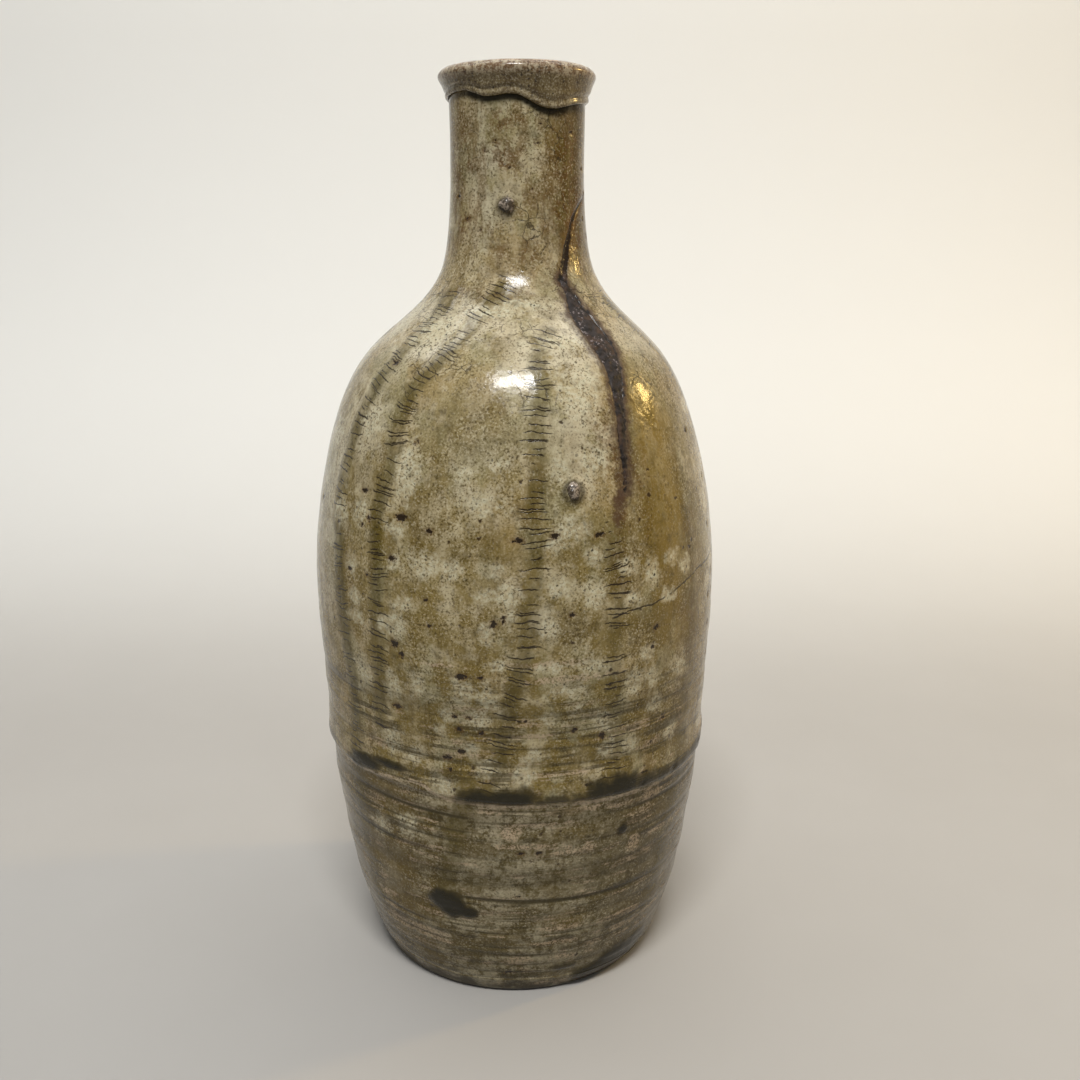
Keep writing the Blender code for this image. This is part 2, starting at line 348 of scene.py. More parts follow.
# Dark glassy glaze held by the ledge: azimuth, height, half width and height in mm, strength.
POOLS = (
    (-46.5, 76.6, 6.5, 1.6, 1), (-52, 74.2, 4, 1.3, 0.9), (-37, 78.2, 7, 1, 0.8),
    (-8, 73.4, 6, 2.2, 0.85), (-1, 73.4, 7, 2.8, 0.95), (8, 72.4, 8, 1.7, 0.45),
    (16, 72.4, 8, 1.7, 0.38), (24, 73.2, 5, 3.2, 0.8), (30, 73.2, 6, 3.9, 0.95),
    (37, 72.2, 5, 2.6, 0.7), (47, 71.6, 8, 2.2, 0.6), (58, 71.4, 6, 2, 0.5), (88, 73, 9, 2.4, 0.9),
    (104, 72.6, 9, 1.8, 0.7), (120, 73.6, 8, 3.2, 1), (140, 73, 9, 1.8, 0.7),
    (160, 74.2, 10, 2.6, 0.9), (-170, 73.6, 9, 1.8, 0.7), (-148, 74.4, 9, 3.2, 1),
    (-125, 73.6, 9, 1.8, 0.7), (-100, 73.4, 10, 2.4, 0.9), (66, 71.8, 8, 2, 0.7),
    (-76, 73.6, 9, 2, 0.8),
)
# Drops of the same glaze where a run ended.
DROPS = (
    (-23.5, 36.2, 3.6, 3.8, 0.95), (-20.5, 35, 4.6, 4.2, 1), (-15.5, 33.2, 3.4, 2, 0.9),
    (122, 46, 4.5, 6, 1), (-146, 42, 4, 5, 1), (31, 58.2, 1.6, 1.8, 0.8), (29, 4.6, 7, 4, 0.95),
    (40, 7, 8, 5, 1), (49, 9.5, 5, 4, 0.7), (16, 10.5, 4, 1.6, 0.5),
)
# Olive patches: azimuth, height, half width, half height in mm, strength.
PATCHES = (
    (-14, 176, 9, 8, 0.6), (-4, 170, 6, 8, 0.5), (-22, 160, 6, 12, 0.55), (-22, 148, 5, 6, 0.6),
    (-30, 178, 6, 6, 0.4), (-45, 160, 4, 6, 0.5), (-12, 145, 8, 4, 0.4), (14, 122, 5, 4.5, 0.75),
    (17, 147, 8, 5, 0.45), (38, 150, 9, 14, 0.45), (46, 128, 9, 10, 0.5), (38, 122, 8, 6, 0.6),
    (12, 60.2, 9.5, 2.4, 0.8), (13, 67.4, 4.5, 1.6, 0.7), (34, 64.6, 3.6, 2.6, 0.75),
    (-13, 67.6, 3, 2.2, 0.6), (17, 30.6, 5.5, 3.2, 0.9), (14, 45, 6, 4, 0.35), (44, 60, 6, 5, 0.4),
    (-8, 207, 9, 3, 0.6), (22, 205, 8, 4, 0.4), (46, 240, 5.5, 18, 1), (50, 226, 5, 8, 0.8),
    (34, 254, 4, 3.5, 0.6), (8, 219, 4, 3, 0.5), (-54, 244, 3, 14, 0.5), (100, 150, 9, 14, 0.5),
    (140, 178, 9, 9, 0.5), (-120, 176, 10, 9, 0.5), (-170, 150, 9, 12, 0.5),
    (178, 182, 10, 7, 0.5), (-75, 176, 8, 7, 0.45), (-130, 120, 8, 8, 0.5), (140, 120, 8, 9, 0.5),
    (100, 240, 5, 12, 0.6), (-140, 244, 5, 12, 0.6), (170, 228, 5, 10, 0.5),
)
# Pale mottles: azimuth, height, half width, half height in mm.
MOTTLES = (
    (-38, 198, 9, 6), (-14, 204, 7, 2.4), (3, 206, 7, 1.6), (20, 196, 9, 3), (20, 184, 7, 9),
    (12, 165, 2.6, 4), (22, 166, 3.6, 5), (-48, 174, 4, 5), (-30, 162, 3.6, 8), (-14, 164, 3.4, 2),
    (-4, 166, 3, 3), (-9, 156, 7, 3.2), (15, 150, 4.4, 4.4), (10, 145, 2.6, 2.6),
    (-33, 148, 3.6, 3), (-46, 150, 4, 4), (-23, 140, 4.6, 3.6), (-33, 139, 2.8, 2.2),
    (-16, 139, 3.2, 3), (-5, 139, 3, 2.6), (-2, 132, 3.4, 3.4), (-8, 132, 2.4, 2.4),
    (11, 134, 3.6, 3), (20, 142, 2.8, 2.6), (20, 132, 3.2, 3.6), (-48, 136, 2.6, 3.2),
    (-46, 127, 3.4, 2.6), (-30, 128, 3.4, 2.2), (-2, 127, 2.4, 2.2), (8, 123, 2.6, 4),
    (30, 138, 3, 2.6), (38, 134, 3, 4), (46, 138, 3.4, 2.4), (31, 129, 2.8, 2.4), (44, 127, 3, 2),
    (52, 134, 2.6, 3), (-32, 122, 3.6, 4), (-46, 121, 3.6, 2.2), (-7, 122, 2.2, 2.6),
    (-5, 113, 3.2, 2), (10, 112, 6, 1.8), (20, 112, 4, 3), (-45, 104, 4.2, 6), (-34, 104, 2.6, 4),
    (-26, 106, 3.6, 4), (-14, 105, 3.4, 4), (-7, 104, 3, 4.6), (13, 105, 5, 3), (32, 104, 3, 5),
    (38, 105, 2.8, 4), (50, 104, 4.4, 4.4), (-18, 98, 2.6, 2.4), (-10, 97, 3, 3),
    (8, 97, 3.4, 2.4), (15, 98, 2.6, 3), (23, 95, 2.6, 5), (40, 96, 4, 2.8), (-20, 93, 2.4, 1.8),
    (-12, 88, 2.8, 2), (-8, 82, 3, 3), (-35, 86, 3.6, 4), (-28, 84, 2.6, 3), (5, 86, 3.6, 1.8),
    (3, 80, 3, 3), (24, 86, 2.2, 3), (32, 85, 3.2, 2.6), (48, 85, 3, 3), (-20, 76, 4, 3),
    (-36, 122, 3, 3), (36, 112, 3.4, 3), (-55, 150, 4, 5), (-33, 60, 4, 5), (-42, 56, 4, 4),
)
# Amber glass on the right, seen with a warm light on it.
AMBERS = (
    (45, 170, 7, 17, 0.95), (46, 148, 8, 20, 0.85), (45, 126, 6, 14, 0.6), (42, 184, 7, 8, 0.6),
    (47, 219, 4, 7, 0.6), (44, 185, 6, 6, 0.4), (132, 160, 8, 24, 0.5), (-110, 140, 8, 20, 0.4),
    (170, 200, 8, 9, 0.4),
)
# Rusty places: azimuth, height, half width, half height in mm, strength.
RUSTS = (
    (-49, 226, 3, 3.4, 0.8), (-47, 229, 2.4, 1.3, 0.9), (-50, 251, 3.4, 6, 0.6),
    (-46, 243, 3.6, 2, 0.6), (-12, 254, 5, 3.2, 0.75), (-11, 246.5, 4.4, 3, 0.7),
    (-10, 243, 3.2, 1.6, 0.8), (16, 234, 7, 2.6, 0.45), (24, 225, 7, 5, 0.4),
    (44, 246, 6, 8, 0.45), (46, 238, 5.5, 17, 0.8), (52, 220, 4, 8, 0.7), (6, 219.5, 3, 3, 0.6),
    (-16, 220, 4, 4, 0.4), (-60, 240, 3, 9, 0.6), (27, 172, 5, 12, 0.5), (36, 158, 4, 10, 0.4),
    (28, 140, 4, 12, 0.35), (55, 118, 6, 24, 0.4), (52, 250, 3, 2, 0.8), (-25, 209, 10, 2, 0.4),
    (2, 208, 8, 2, 0.4), (22, 214, 5, 5, 0.35), (31, 181, 1.8, 2.6, 0.8), (29.6, 165, 2.6, 8, 0.8),
    (29, 154, 2.4, 5, 0.9), (120, 226, 6, 12, 0.5), (-120, 236, 6, 9, 0.5), (175, 250, 7, 5, 0.5),
    (95, 180, 8, 14, 0.4), (-150, 130, 9, 16, 0.35), (150, 100, 9, 12, 0.35),
)
# Paler greyish ground on the shoulder and the belly.
PALES = (
    (-42, 196, 12, 10, 0.8), (-30, 200, 12, 7, 0.6), (18, 192, 12, 12, 0.8), (20, 175, 8, 14, 0.6),
    (8, 205, 12, 4, 0.5), (-25, 235, 5, 22, 0.5), (60, 196, 10, 8, 0.6), (-8, 160, 8, 10, 0.4),
    (-2, 132, 14, 12, 0.35), (-48, 172, 6, 12, 0.5), (-60, 200, 9, 10, 0.7),
    (-62, 150, 6, 30, 0.5), (110, 195, 14, 9, 0.6), (160, 190, 14, 10, 0.6),
    (-100, 192, 14, 11, 0.6), (-150, 196, 12, 9, 0.6), (180, 130, 16, 14, 0.4),
    (-90, 130, 12, 18, 0.4),
)

# Pits and burnt specks: azimuth, height, half width, half height in mm.
PITS = (
    (-31, 151.2, 1.9, 1), (-29, 171, 0.9, 0.8), (-48, 190, 1.4, 0.9), (-45, 156.6, 1.3, 0.7),
    (-42, 149.3, 0.8, 0.9), (-44.5, 147.3, 0.7, 0.6), (-22.3, 148.4, 1.1, 0.8),
    (0.5, 147, 1.9, 0.8), (10, 148, 1.2, 0.9), (22, 147.3, 1.5, 0.7), (-33, 140, 1.5, 0.8),
    (-49, 134.2, 1, 0.8), (-42, 134, 0.8, 0.7), (-23, 130, 0.7, 0.5), (-3, 126, 0.7, 1.1),
    (-5.5, 124.6, 1, 1.1), (14, 126.6, 1, 0.7), (-22, 123, 0.8, 0.6), (-32.6, 116.2, 1.5, 1.1),
    (-30.6, 113.4, 0.9, 0.8), (39, 118.8, 1.2, 0.9), (38, 113.5, 0.9, 0.6), (-14, 109.4, 2.1, 0.8),
    (-9, 109.4, 0.9, 0.6), (-33, 97, 1.5, 0.9), (-16, 97.2, 0.9, 0.6), (-12.2, 97.2, 0.8, 0.6),
    (2.4, 96.5, 0.7, 0.6), (15, 93, 0.9, 0.8), (-15, 93.5, 1.1, 0.8), (-9, 93, 0.9, 0.6),
    (23, 90.2, 1.1, 1), (43.6, 90, 0.9, 0.6), (-14.5, 86.9, 1.3, 0.7), (-18.5, 84.5, 1.3, 0.8),
    (-17.7, 81, 0.8, 0.6), (1, 55, 1.2, 0.6), (6.2, 55, 1.3, 0.6), (30.5, 58, 1.3, 1.4),
    (19.5, 76, 1.5, 0.6), (37, 75, 1.4, 0.6), (36.6, 72, 0.8, 0.7), (50, 72, 1.6, 0.7),
    (0.4, 39.6, 1.4, 0.5), (-3, 9, 1.6, 0.6), (-19, 249, 1.2, 0.8), (-11, 243, 1, 0.8),
    (2, 241.5, 0.8, 0.6), (16, 249, 1, 1.1), (51, 252, 1.1, 0.8), (-46, 228.6, 1.4, 0.8),
    (-32, 226, 1, 0.7), (12, 236.4, 0.8, 0.6), (-58, 235, 1, 0.8), (19, 253.8, 0.8, 0.6),
    (3, 247, 0.7, 0.5), (-28, 247, 0.6, 0.6), (110, 160, 1.6, 1), (128, 132, 1.2, 0.9),
    (150, 151, 1.4, 0.8), (175, 120, 1.8, 0.8), (-170, 170, 1.2, 0.8), (-140, 142, 1.5, 1),
    (-115, 156, 1.3, 0.8), (-88, 128, 1.6, 0.9), (-72, 150, 1.1, 0.8), (75, 120, 1.2, 0.8),
    (92, 96, 1.6, 0.7), (-104, 98, 1.4, 0.7), (-150, 95, 1.8, 0.7), (66, 170, 1, 0.8),
    (142, 90, 1.3, 0.8), (-126, 62, 1.4, 0.7), (96, 52, 1.3, 0.7),
)


def scattered(count, low, high, widths, seed, strength=()):
    """Spots at random places round the sides and the back."""
    draws = np.random.default_rng(seed)
    turns = draws.uniform(68.0, 292.0, count)
    heights = draws.uniform(low, high, count)
    half = draws.uniform(*widths, count)
    tall = half * draws.uniform(0.6, 1.5, count)
    return tuple((*spot, *strength) for spot in zip(turns, heights, half, tall))


MOTTLES += scattered(230, 78.0, 158.0, (2.0, 4.4), 301) + scattered(40, 150.0, 205.0, (3, 8), 302)
PITS += scattered(60, 78.0, 160.0, (0.6, 1.5), 303) + scattered(16, 215.0, 256.0, (0.5, 1.1), 304)
PATCHES += scattered(26, 120.0, 205.0, (4.0, 9.0), 305, (0.45,))
RUSTS += scattered(20, 216.0, 258.0, (2.0, 5.0), 306, (0.6,))

# Crinkled glaze beside the crack and the scar: azimuth, height, half width, half height.
CRINKLES = (
    (46, 219, 4.5, 8), (46, 183, 5.5, 6), (44, 175, 4, 5), (118, 190, 6, 8),
)

# Bare scraped streaks: azimuth, height, half width, half height in mm.
STREAKS = (
    (9, 113.2, 13, 0.8), (13, 108.6, 13, 1), (-21, 112, 8, 0.7), (2, 92, 9, 0.8), (30, 91, 6, 0.9),
    (-12, 100, 8, 0.7), (-2, 61.8, 3.4, 2.4), (17, 67.6, 13, 0.9), (31, 66.6, 5, 1.3),
    (36, 52, 2.6, 4), (6, 64.2, 12, 0.8), (-7, 68.6, 4, 1.2), (21, 37.6, 6, 0.9), (14, 27, 7, 1.2),
    (2, 57.4, 10, 0.8), (41, 66, 4, 2.6),
)

# The dark scar on the shoulder and the crack that runs up the neck from it.
SCAR = ((31, 212.5), (34, 209), (34.2, 205), (36, 200), (37, 195), (36.8, 190), (35.2, 184),
        (33.8, 177), (32.6, 170), (32, 163), (31, 158))
SCAR_HALF_WIDTHS = (1.0, 2.0, 3.7, 4.1, 4.2, 3.1, 2.2, 1.7, 1.4, 1.2, 0.9)
SCAR_TAIL = ((29.5, 157), (28.4, 153.5), (27.6, 150.5))
SCAR_TAIL_WIDTH = 2.0
NECK_CRACK = ((86, 236.5), (70, 234), (60, 231.8), (52, 229), (47, 225.5), (42, 221.5),
              (38, 217.5), (34, 214), (31, 210))
BODY_CRACK = ((90, 134), (80, 132.5), (70, 131.3), (60, 130.9), (52, 129), (45, 127.4),
              (39, 126), (32, 125.6), (24, 124))

# The lip's free edge all the way round: azimuth, height in mm.
LIP_EDGE = (
    (-180, 259), (-130, 260.6), (-90, 261.8), (-54, 262.6), (-44, 262.5), (-36, 261.7),
    (-27, 260.7), (-18, 260.7), (-8, 261.1), (1, 260.8), (9, 259.6), (17, 258.2), (25, 257.6),
    (33, 257.7), (42, 258.4), (52, 259.2), (66, 259.8), (90, 260.8), (135, 259.4), (180, 259),
)


def lip_edge_at(azimuth):
    """Height of the lip's free edge, on a smooth curve that meets itself after a full turn."""
    x, y = np.array(LIP_EDGE, float).T
    x3 = np.concatenate([x[:-1] - 360.0, x, x[1:] + 360.0])
    y3 = np.concatenate([y[:-1], y, y[1:]])
    return curve_at(x3, y3, short_turn(azimuth))


# ---------------------------------------------------------------- fields on the skin

# What a field holds away from the glazed wall, where that is not 0.
OUTER = {"above_ledge": 99.0, "neck_crack": 9.0, "body_crack": 9.0, "ladder_across": 50.0,
         "scar": -9.0, "scar_tail": -9.0, "pit": -2.0}

POINTS = skin.points
WARP = rough(POINTS, 7.0, 11, 3)
FINE = rough(POINTS, 2.4, 21, 2)
TILTED = skin.height - JOIN_SLOPE * POINTS[..., 0]


def ring_noise(wave, seed):
    """Noise that runs round the pot in long, nearly level streaks."""
    stretched = np.stack([POINTS[..., 0] * 0.03, POINTS[..., 1] * 0.03, TILTED], axis=-1)
    return noise(stretched, wave, seed)


def ledge_height():
    """Height of the ledge's lower edge. On the left it climbs, as the end of a spiral does."""
    left = smooth(-18.0, -30.0, skin.azimuth) * smooth(-75.0, -56.0, skin.azimuth)
    climb = np.interp(skin.azimuth, (-60.0, -50.0, -32.0, -18.0), (0.0, 0.6, 3.4, 6.0))
    return JOIN_FRONT + left * climb


RUN_OFFSET = 400.0  # keeps the cross cracks of one run unlike those of the next


def run_fields():
    """Strength of the olive runs, and stroke coordinates for the laddered ones."""
    strength = np.zeros(skin.height.shape)
    nearest = np.full(skin.height.shape, 1e3)
    across = np.full(skin.height.shape, 50.0)
    along = np.zeros(skin.height.shape)
    for number, (spots, half_width, power, laddered) in enumerate(RUNS.values()):
        side, place, beyond, distance = beside(skin, spots)
        wide = half_width * (1.0 + 0.28 * WARP)
        edge = np.hypot(side, beyond) + 0.9 * FINE
        strength = np.maximum(strength, power * (1.0 - smooth(0.55 * wide, 1.5 * wide, edge)))
        if laddered:
            closer = distance < nearest
            nearest = np.where(closer, distance, nearest)
            across = np.where(closer, side, across)
            along = np.where(closer, place + RUN_OFFSET * number, along)
    return strength, across, along, nearest


def oval(azimuth, height, half_width, half_height, reach, margin):
    """The grid's rows near a spot, with 1 in the spot's middle and 0 on its edge."""
    first, last = np.searchsorted(LEVELS, (height - reach, height + reach))
    rows = slice(max(first - margin, 0), last + margin)
    across = np.radians(short_turn(AZIMUTH[rows] - azimuth)) * skin.radius[rows] / half_width
    up = (skin.arc[rows] - arc_at(height)) / half_height
    return rows, 1.0 - np.hypot(across, up)


def spots_field(spots, ragged, softness):
    """The strongest of many oval spots, each with a ragged edge."""
    field = np.zeros(skin.height.shape)
    for azimuth, height, half_width, half_height, *strength in spots:
        reach = 3.0 * half_height + 2.0
        rows, inside = oval(azimuth, height, half_width, half_height, reach, 2)
        value = smooth(-softness, softness, inside + ragged[rows])
        value = np.where(inside > -2.0, value, 0.0) * (strength[0] if strength else 1.0)
        field[rows] = np.maximum(field[rows], value)
    return field


def cones_field(spots):
    """1 in the middle of the nearest small spot, 0 on its edge, down to -2 further out."""
    field = np.full(skin.height.shape, OUTER["pit"])
    for spot in spots:
        rows, inside = oval(*spot, 8.0, 0)
        field[rows] = np.maximum(field[rows], inside)
    return field


def scar_field():
    """How far inside the dark scar's edge each point is, in mm, and the same for its tail."""
    _, place, _, distance = beside(skin, SCAR)
    marks = np.linspace(0.0, path_through(SCAR)[2][-1], len(SCAR))
    half_width = np.interp(place, marks, SCAR_HALF_WIDTHS)
    return half_width - distance, SCAR_TAIL_WIDTH - beside(skin, SCAR_TAIL)[3]


def crack_line(spots):
    """Signed distance across a crack in mm, and 10 past its ends."""
    side, _, beyond, _ = beside(skin, spots)
    return np.where(beyond > 0.0, 10.0, side)


FIELDS = {}
run, FIELDS["ladder_across"], FIELDS["ladder_along"], ladder_distance = run_fields()
ragged = 0.45 * WARP + 0.3 * FINE
above_ledge = TILTED - ledge_height()
held = spots_field(POOLS, 0.8 * ragged, 0.75) * smooth(-0.35, 0.25, above_ledge)
drop = spots_field(DROPS, 0.35 * ragged, 0.42)
pit = cones_field(PITS)
for label, spots, raggedness, softness in (
    ("patch", PATCHES, 1.2, 0.5),
    ("mottle", MOTTLES, 1.1, 0.85),
    ("streak", STREAKS, 0.6, 0.7),
    ("crinkle", CRINKLES, 0.5, 0.8),
    ("amber", AMBERS, 0.7, 0.8),
    ("rust", RUSTS, 1.3, 0.6),
    ("pale", PALES, 1.0, 0.8),
):
    FIELDS[label] = spots_field(spots, raggedness * ragged, softness)
scar, scar_tail = scar_field()
neck_crack = crack_line(NECK_CRACK)
body_crack = crack_line(BODY_CRACK)
below_lip = lip_edge_at(skin.azimuth) - skin.height
# How strong the painted shadow and pooled glaze under the lip are round the pot: strongest in
# front.
front_lip = 0.55 + 0.45 * smooth(-52.0, -40.0, skin.azimuth) * smooth(62.0, 48.0, skin.azimuth)
# How much olive the ground carries at each height.
GROUND_HEIGHTS = (60.0, 72.0, 90.0, 110.0, 130.0, 148.0, 165.0, 180.0)
GROUND_DEPTHS = (0.55, 0.9, 1.0, 0.85, 0.7, 0.5, 0.28, 0.15)


def throwing():
    """Throwing rings in mm: strong low down, faint above, gone on the neck."""
    low = 1.0 - smooth(88.0, 128.0, skin.height)
    mid = smooth(60.0, 90.0, skin.height) * (1.0 - smooth(150.0, 190.0, skin.height))
    wide = 0.55 * ring_noise(6.5, 31) + 0.3 * ring_noise(3.2, 32)
    return (0.30 * low + 0.07 * mid + 0.04) * wide


def ledge_step():
    """The upper wall hangs a little over the lower one along the join."""
    above = TILTED - JOIN_FRONT
    lip = 0.55 * smooth(-0.2, 0.9, above) * (1.0 - smooth(2.0, 12.0, above))
    return lip - 0.25 * smooth(-3.5, -0.4, above) * (1.0 - smooth(-0.4, 0.4, above))


# Height, depth and half width in mm.
GROOVES = (
    (37.9, 0.4, 0.7), (28.8, 0.22, 0.6), (16.4, 0.35, 0.7), (12.2, 0.2, 0.6), (57.6, 0.3, 0.6),
    (65.3, 0.35, 0.6), (48.6, 0.16, 0.6), (43.2, 0.14, 0.6), (83.2, 0.18, 0.6), (91.6, 0.16, 0.7),
    (109, 0.15, 0.6), (114, 0.12, 0.5), (22.4, 0.16, 0.6), (52.6, 0.26, 0.45), (33, 0.26, 0.45),
    (19.6, 0.22, 0.45), (8.6, 0.24, 0.5), (68.8, 0.24, 0.4), (61.2, 0.22, 0.45), (46, 0.24, 0.4),
    (25.4, 0.24, 0.45), (88, 0.2, 0.4), (96.4, 0.2, 0.4), (101.5, 0.16, 0.4),
)


def grooves():
    """Single deeper grooves, each coming and going round the pot."""
    total = np.zeros(skin.height.shape)
    for number, (height, depth, width) in enumerate(GROOVES):
        wander = 0.5 * noise(POINTS, 40.0, 60 + number)
        strength = smooth(-0.5, 0.35, noise(POINTS, 34.0, 90 + number))
        total = np.maximum(total, depth * strength * bell(TILTED - height - wander, width))
    return total


# Where the lumps of grit stand: azimuth, height.
NECK_GRIT = (-9.5, 232.0)
BELLY_GRIT = (15.5, 159.0)


def from_grit(azimuth, height):
    """Distance in mm from a lump of grit."""
    return np.hypot(*skin.offset(azimuth, height))


def grit_collar(spot, reach):
    """A fillet of glaze round a lump of grit."""
    distance = from_grit(*spot)
    return 0.55 * bell(distance, reach) - 0.25 * bell(distance - 1.45 * reach, 0.8)


def grit_shadow(azimuth, height, reach):
    """A painted shadow ring round a lump of grit, a little below its middle."""
    return bell(from_grit(azimuth, height - 0.2) - reach, 0.75)


rings = throwing()
groove = grooves()
outwards = (
    0.45 * noise(POINTS, 48.0, 3)
    + 0.16 * noise(POINTS, 17.0, 4)
    + 0.035 * rough(POINTS, 3.0, 5, 2)
    + rings
    + ledge_step()
    - groove
    + 0.16 * run
    + 0.45 * held + 0.6 * drop
    - 0.30 * smooth(-0.3, 0.6, pit)
    - 0.9 * smooth(-0.1, 1.0, scar)
    - 0.30 * bell(neck_crack, 0.6)
    - 0.16 * bell(body_crack, 0.45)
    + grit_collar(NECK_GRIT, 2.9)
    + grit_collar(BELLY_GRIT, 3.2)
)
outwards = outwards * smooth(0.0, 3.0, skin.height - FOOT_LEVEL) * smooth(-1.5, 0.5, below_lip)
surface = skin.moved(outwards)


def surface_normals(points):
    """Outward normals of the whole grid, so that the sections meet without a seam."""
    round_pot = np.roll(points, -1, axis=1) - np.roll(points, 1, axis=1)
    upwards = np.gradient(points, axis=0)
    normals = np.cross(round_pot, upwards)
    return normals / np.linalg.norm(normals, axis=-1, keepdims=True)


normals = surface_normals(surface)
FIELDS |= {
    "run": run,
    "ladder_near": 1.0 - smooth(3.4, 5.2, ladder_distance),
    "pool": np.maximum(held, drop),
    "pit": pit,
    "groove": groove / 0.4,
    "rings": rings / 0.3,
    "above_ledge": above_ledge,
    "ground": np.interp(skin.height, GROUND_HEIGHTS, GROUND_DEPTHS),
    # collar: a painted shadow ring round each lump of grit, a little below it
    "collar": np.maximum(0.8 * grit_shadow(*NECK_GRIT, 2.2), grit_shadow(*BELLY_GRIT, 2.5)),
    # Dark band below the lip's free edge: partly pooled glaze, partly painted shadow of the lip.
    "lip_shadow_and_pool": front_lip * smooth(2.6 + 0.6 * WARP, 1.0, below_lip),
    "scar": scar,
    "scar_tail": scar_tail,
    "neck_crack": neck_crack,
    "body_crack": body_crack,
}
for label in ("scar", "scar_tail", "neck_crack", "body_crack"):
    FIELDS[label] = np.clip(FIELDS[label], -9.0, 9.0)


# ---------------------------------------------------------------- meshes

def turned_mesh(name, loops, fields=None, fixed_normals=None, capped=False):
    """A closed mesh from loops of points in mm: a ring, or a solid with a pole at each end.

    fields holds a value for each point of the first loops, fixed_normals their normals.
    """
    count, columns = loops.shape[:2]
    ring, step = np.meshgrid(
        np.arange(count - 1 if capped else count), np.arange(columns), indexing="ij"
    )
    after_ring, after_step = (ring + 1) % count, (step + 1) % columns
    corners = [(ring, step), (ring, after_step), (after_ring, after_step), (after_ring, step)]
    faces = [np.stack([i * columns + j for i, j in corners], axis=-1).reshape(-1, 4)]
    points = loops.reshape(-1, 3)
    if capped:
        poles = np.stack([loops[0].mean(axis=0), loops[-1].mean(axis=0)])
        first, last = len(points), len(points) + 1
        points = np.concatenate([points, poles])
        here = np.arange(columns)
        after = (here + 1) % columns
        end = (count - 1) * columns
        faces.append(np.stack([np.full(columns, first), after, here], axis=-1))
        faces.append(np.stack([np.full(columns, last), end + here, end + after], axis=-1))
    return make_mesh(name, points, faces, fields, fixed_normals)


def make_mesh(name, points, faces, fields=None, fixed_normals=None):
    mesh = bpy.data.meshes.new(name)
    mesh.vertices.add(len(points))
    mesh.vertices.foreach_set("co", (points * MM).astype(np.float32).ravel())
    sizes = np.concatenate([np.full(len(part), part.shape[1]) for part in faces])
    starts = np.concatenate([[0], np.cumsum(sizes)[:-1]])
    corners = np.concatenate([part.ravel() for part in faces])
    mesh.loops.add(len(corners))
    mesh.loops.foreach_set("vertex_index", corners.astype(np.int32))
    mesh.polygons.add(len(sizes))
    mesh.polygons.foreach_set("loop_start", starts.astype(np.int32))
    mesh.update(calc_edges=True)
    mesh.shade_smooth()
    for label, values in (fields or {}).items():
        stored = np.full(len(points), OUTER.get(label, 0.0), np.float32)
        stored[: values.size] = values.ravel()
        mesh.attributes.new(label, "FLOAT", "POINT").data.foreach_set("value", stored)
    if fixed_normals is not None:
        custom = np.empty(len(points) * 3, np.float32)
        mesh.vertex_normals.foreach_get("vector", custom)
        custom = custom.reshape(-1, 3)
        custom[: fixed_normals.shape[0] * fixed_normals.shape[1]] = fixed_normals.reshape(-1, 3)
        mesh.normals_split_custom_set_from_vertices(custom)
    return mesh


def loop_at(radius, height, azimuth=None):
    """One ring of points; radius and height are numbers or vary round the ring."""
    angle = np.radians(azimuths() if azimuth is None else azimuth)
    height = np.zeros_like(angle) + height
    x = centre_at(height) + radius * np.sin(angle)
    return np.stack([x, -radius * np.cos(angle), height], axis=-1)


def rows_of(low, high):
    """The grid rows from one nominal height to another."""
    found = np.flatnonzero((LEVELS > low - 1e-6) & (LEVELS < high + 1e-6))
    return slice(found[0], found[-1] + 1)


def skin_piece(name, rows, inner_loops):
    """A wall section: rows of the glazed skin closed by plain loops inside."""
    loops = np.concatenate([surface[rows], np.stack(inner_loops)])
    fields = {label: values[rows] for label, values in FIELDS.items()}
    return turned_mesh(name, loops, fields, normals[rows])


JOINT = 0.12  # clear gap in mm between the hidden faces of two sections
INSIDE_FLOOR = 10.0
FLOOR_RADIUS = 41.0
FOOT_RADIUS = 43.3
FOOT_EDGE = ((43.75, 0.12), (44.15, 0.4))  # radius, height
WALL_THICKNESS = 5.6
LOWER_INSIDE = (60.0, 48.0, 36.0, 24.0, 15.0)
UPPER_INSIDE = (185.0, 178.0, 169.0, 159.0, 148.0, 136.0, 120.0, 104.0, 88.0)
SHOULDER_INSIDE = ((19.4, 206.0), (24.6, 199.5), (31.2, 194.0))  # radius, height
BORE_HEIGHTS = (213.0, 219.0, 228.0, 255.0, 270.0)
BORE_RADII = (16.4, 15.4, 14.6, 14.6, 15.6)
CORD_PIVOT = (49.0, -9.0)  # the arcs of the cutting cord run round this place


def inner_radius(height):
    """Radius of the hollow, square to the slope of the wall."""
    slope = radius_at(height + 0.5) - radius_at(height - 0.5)
    return radius_at(height) - WALL_THICKNESS * np.hypot(1.0, slope)


def join_loop(radius, rise):
    height = JOIN_FRONT + JOIN_SLOPE * radius * np.sin(np.radians(azimuths())) + rise
    return loop_at(radius, height)


def underside_loops():
    """The flat resting ring, and inside it a shallow hollow with the arcs of a cutting cord."""
    loops = []
    for radius in np.concatenate([np.arange(1.0, FOOT_RADIUS, 0.95), [FOOT_RADIUS]]):
        loop = loop_at(radius, 0.0)
        spread_from = np.hypot(loop[:, 0] - CORD_PIVOT[0], loop[:, 1] - CORD_PIVOT[1])
        arcs = 0.5 + 0.5 * np.sin(spread_from * 2.1 + 1.6 * noise(loop, 18.0, 77))
        lift = 0.5 * (1.0 - smooth(27.0, 39.0, radius)) + 0.16 * arcs
        pits = 0.35 * smooth(0.45, 0.8, noise(loop, 2.6, 78))
        loop[:, 2] = (lift + pits) * (1.0 - smooth(41.0, FOOT_RADIUS, radius)) + 0.02
        loops.append(loop)
    loops[-1][:, 2] = 0.0
    return loops + [loop_at(*place) for place in FOOT_EDGE]


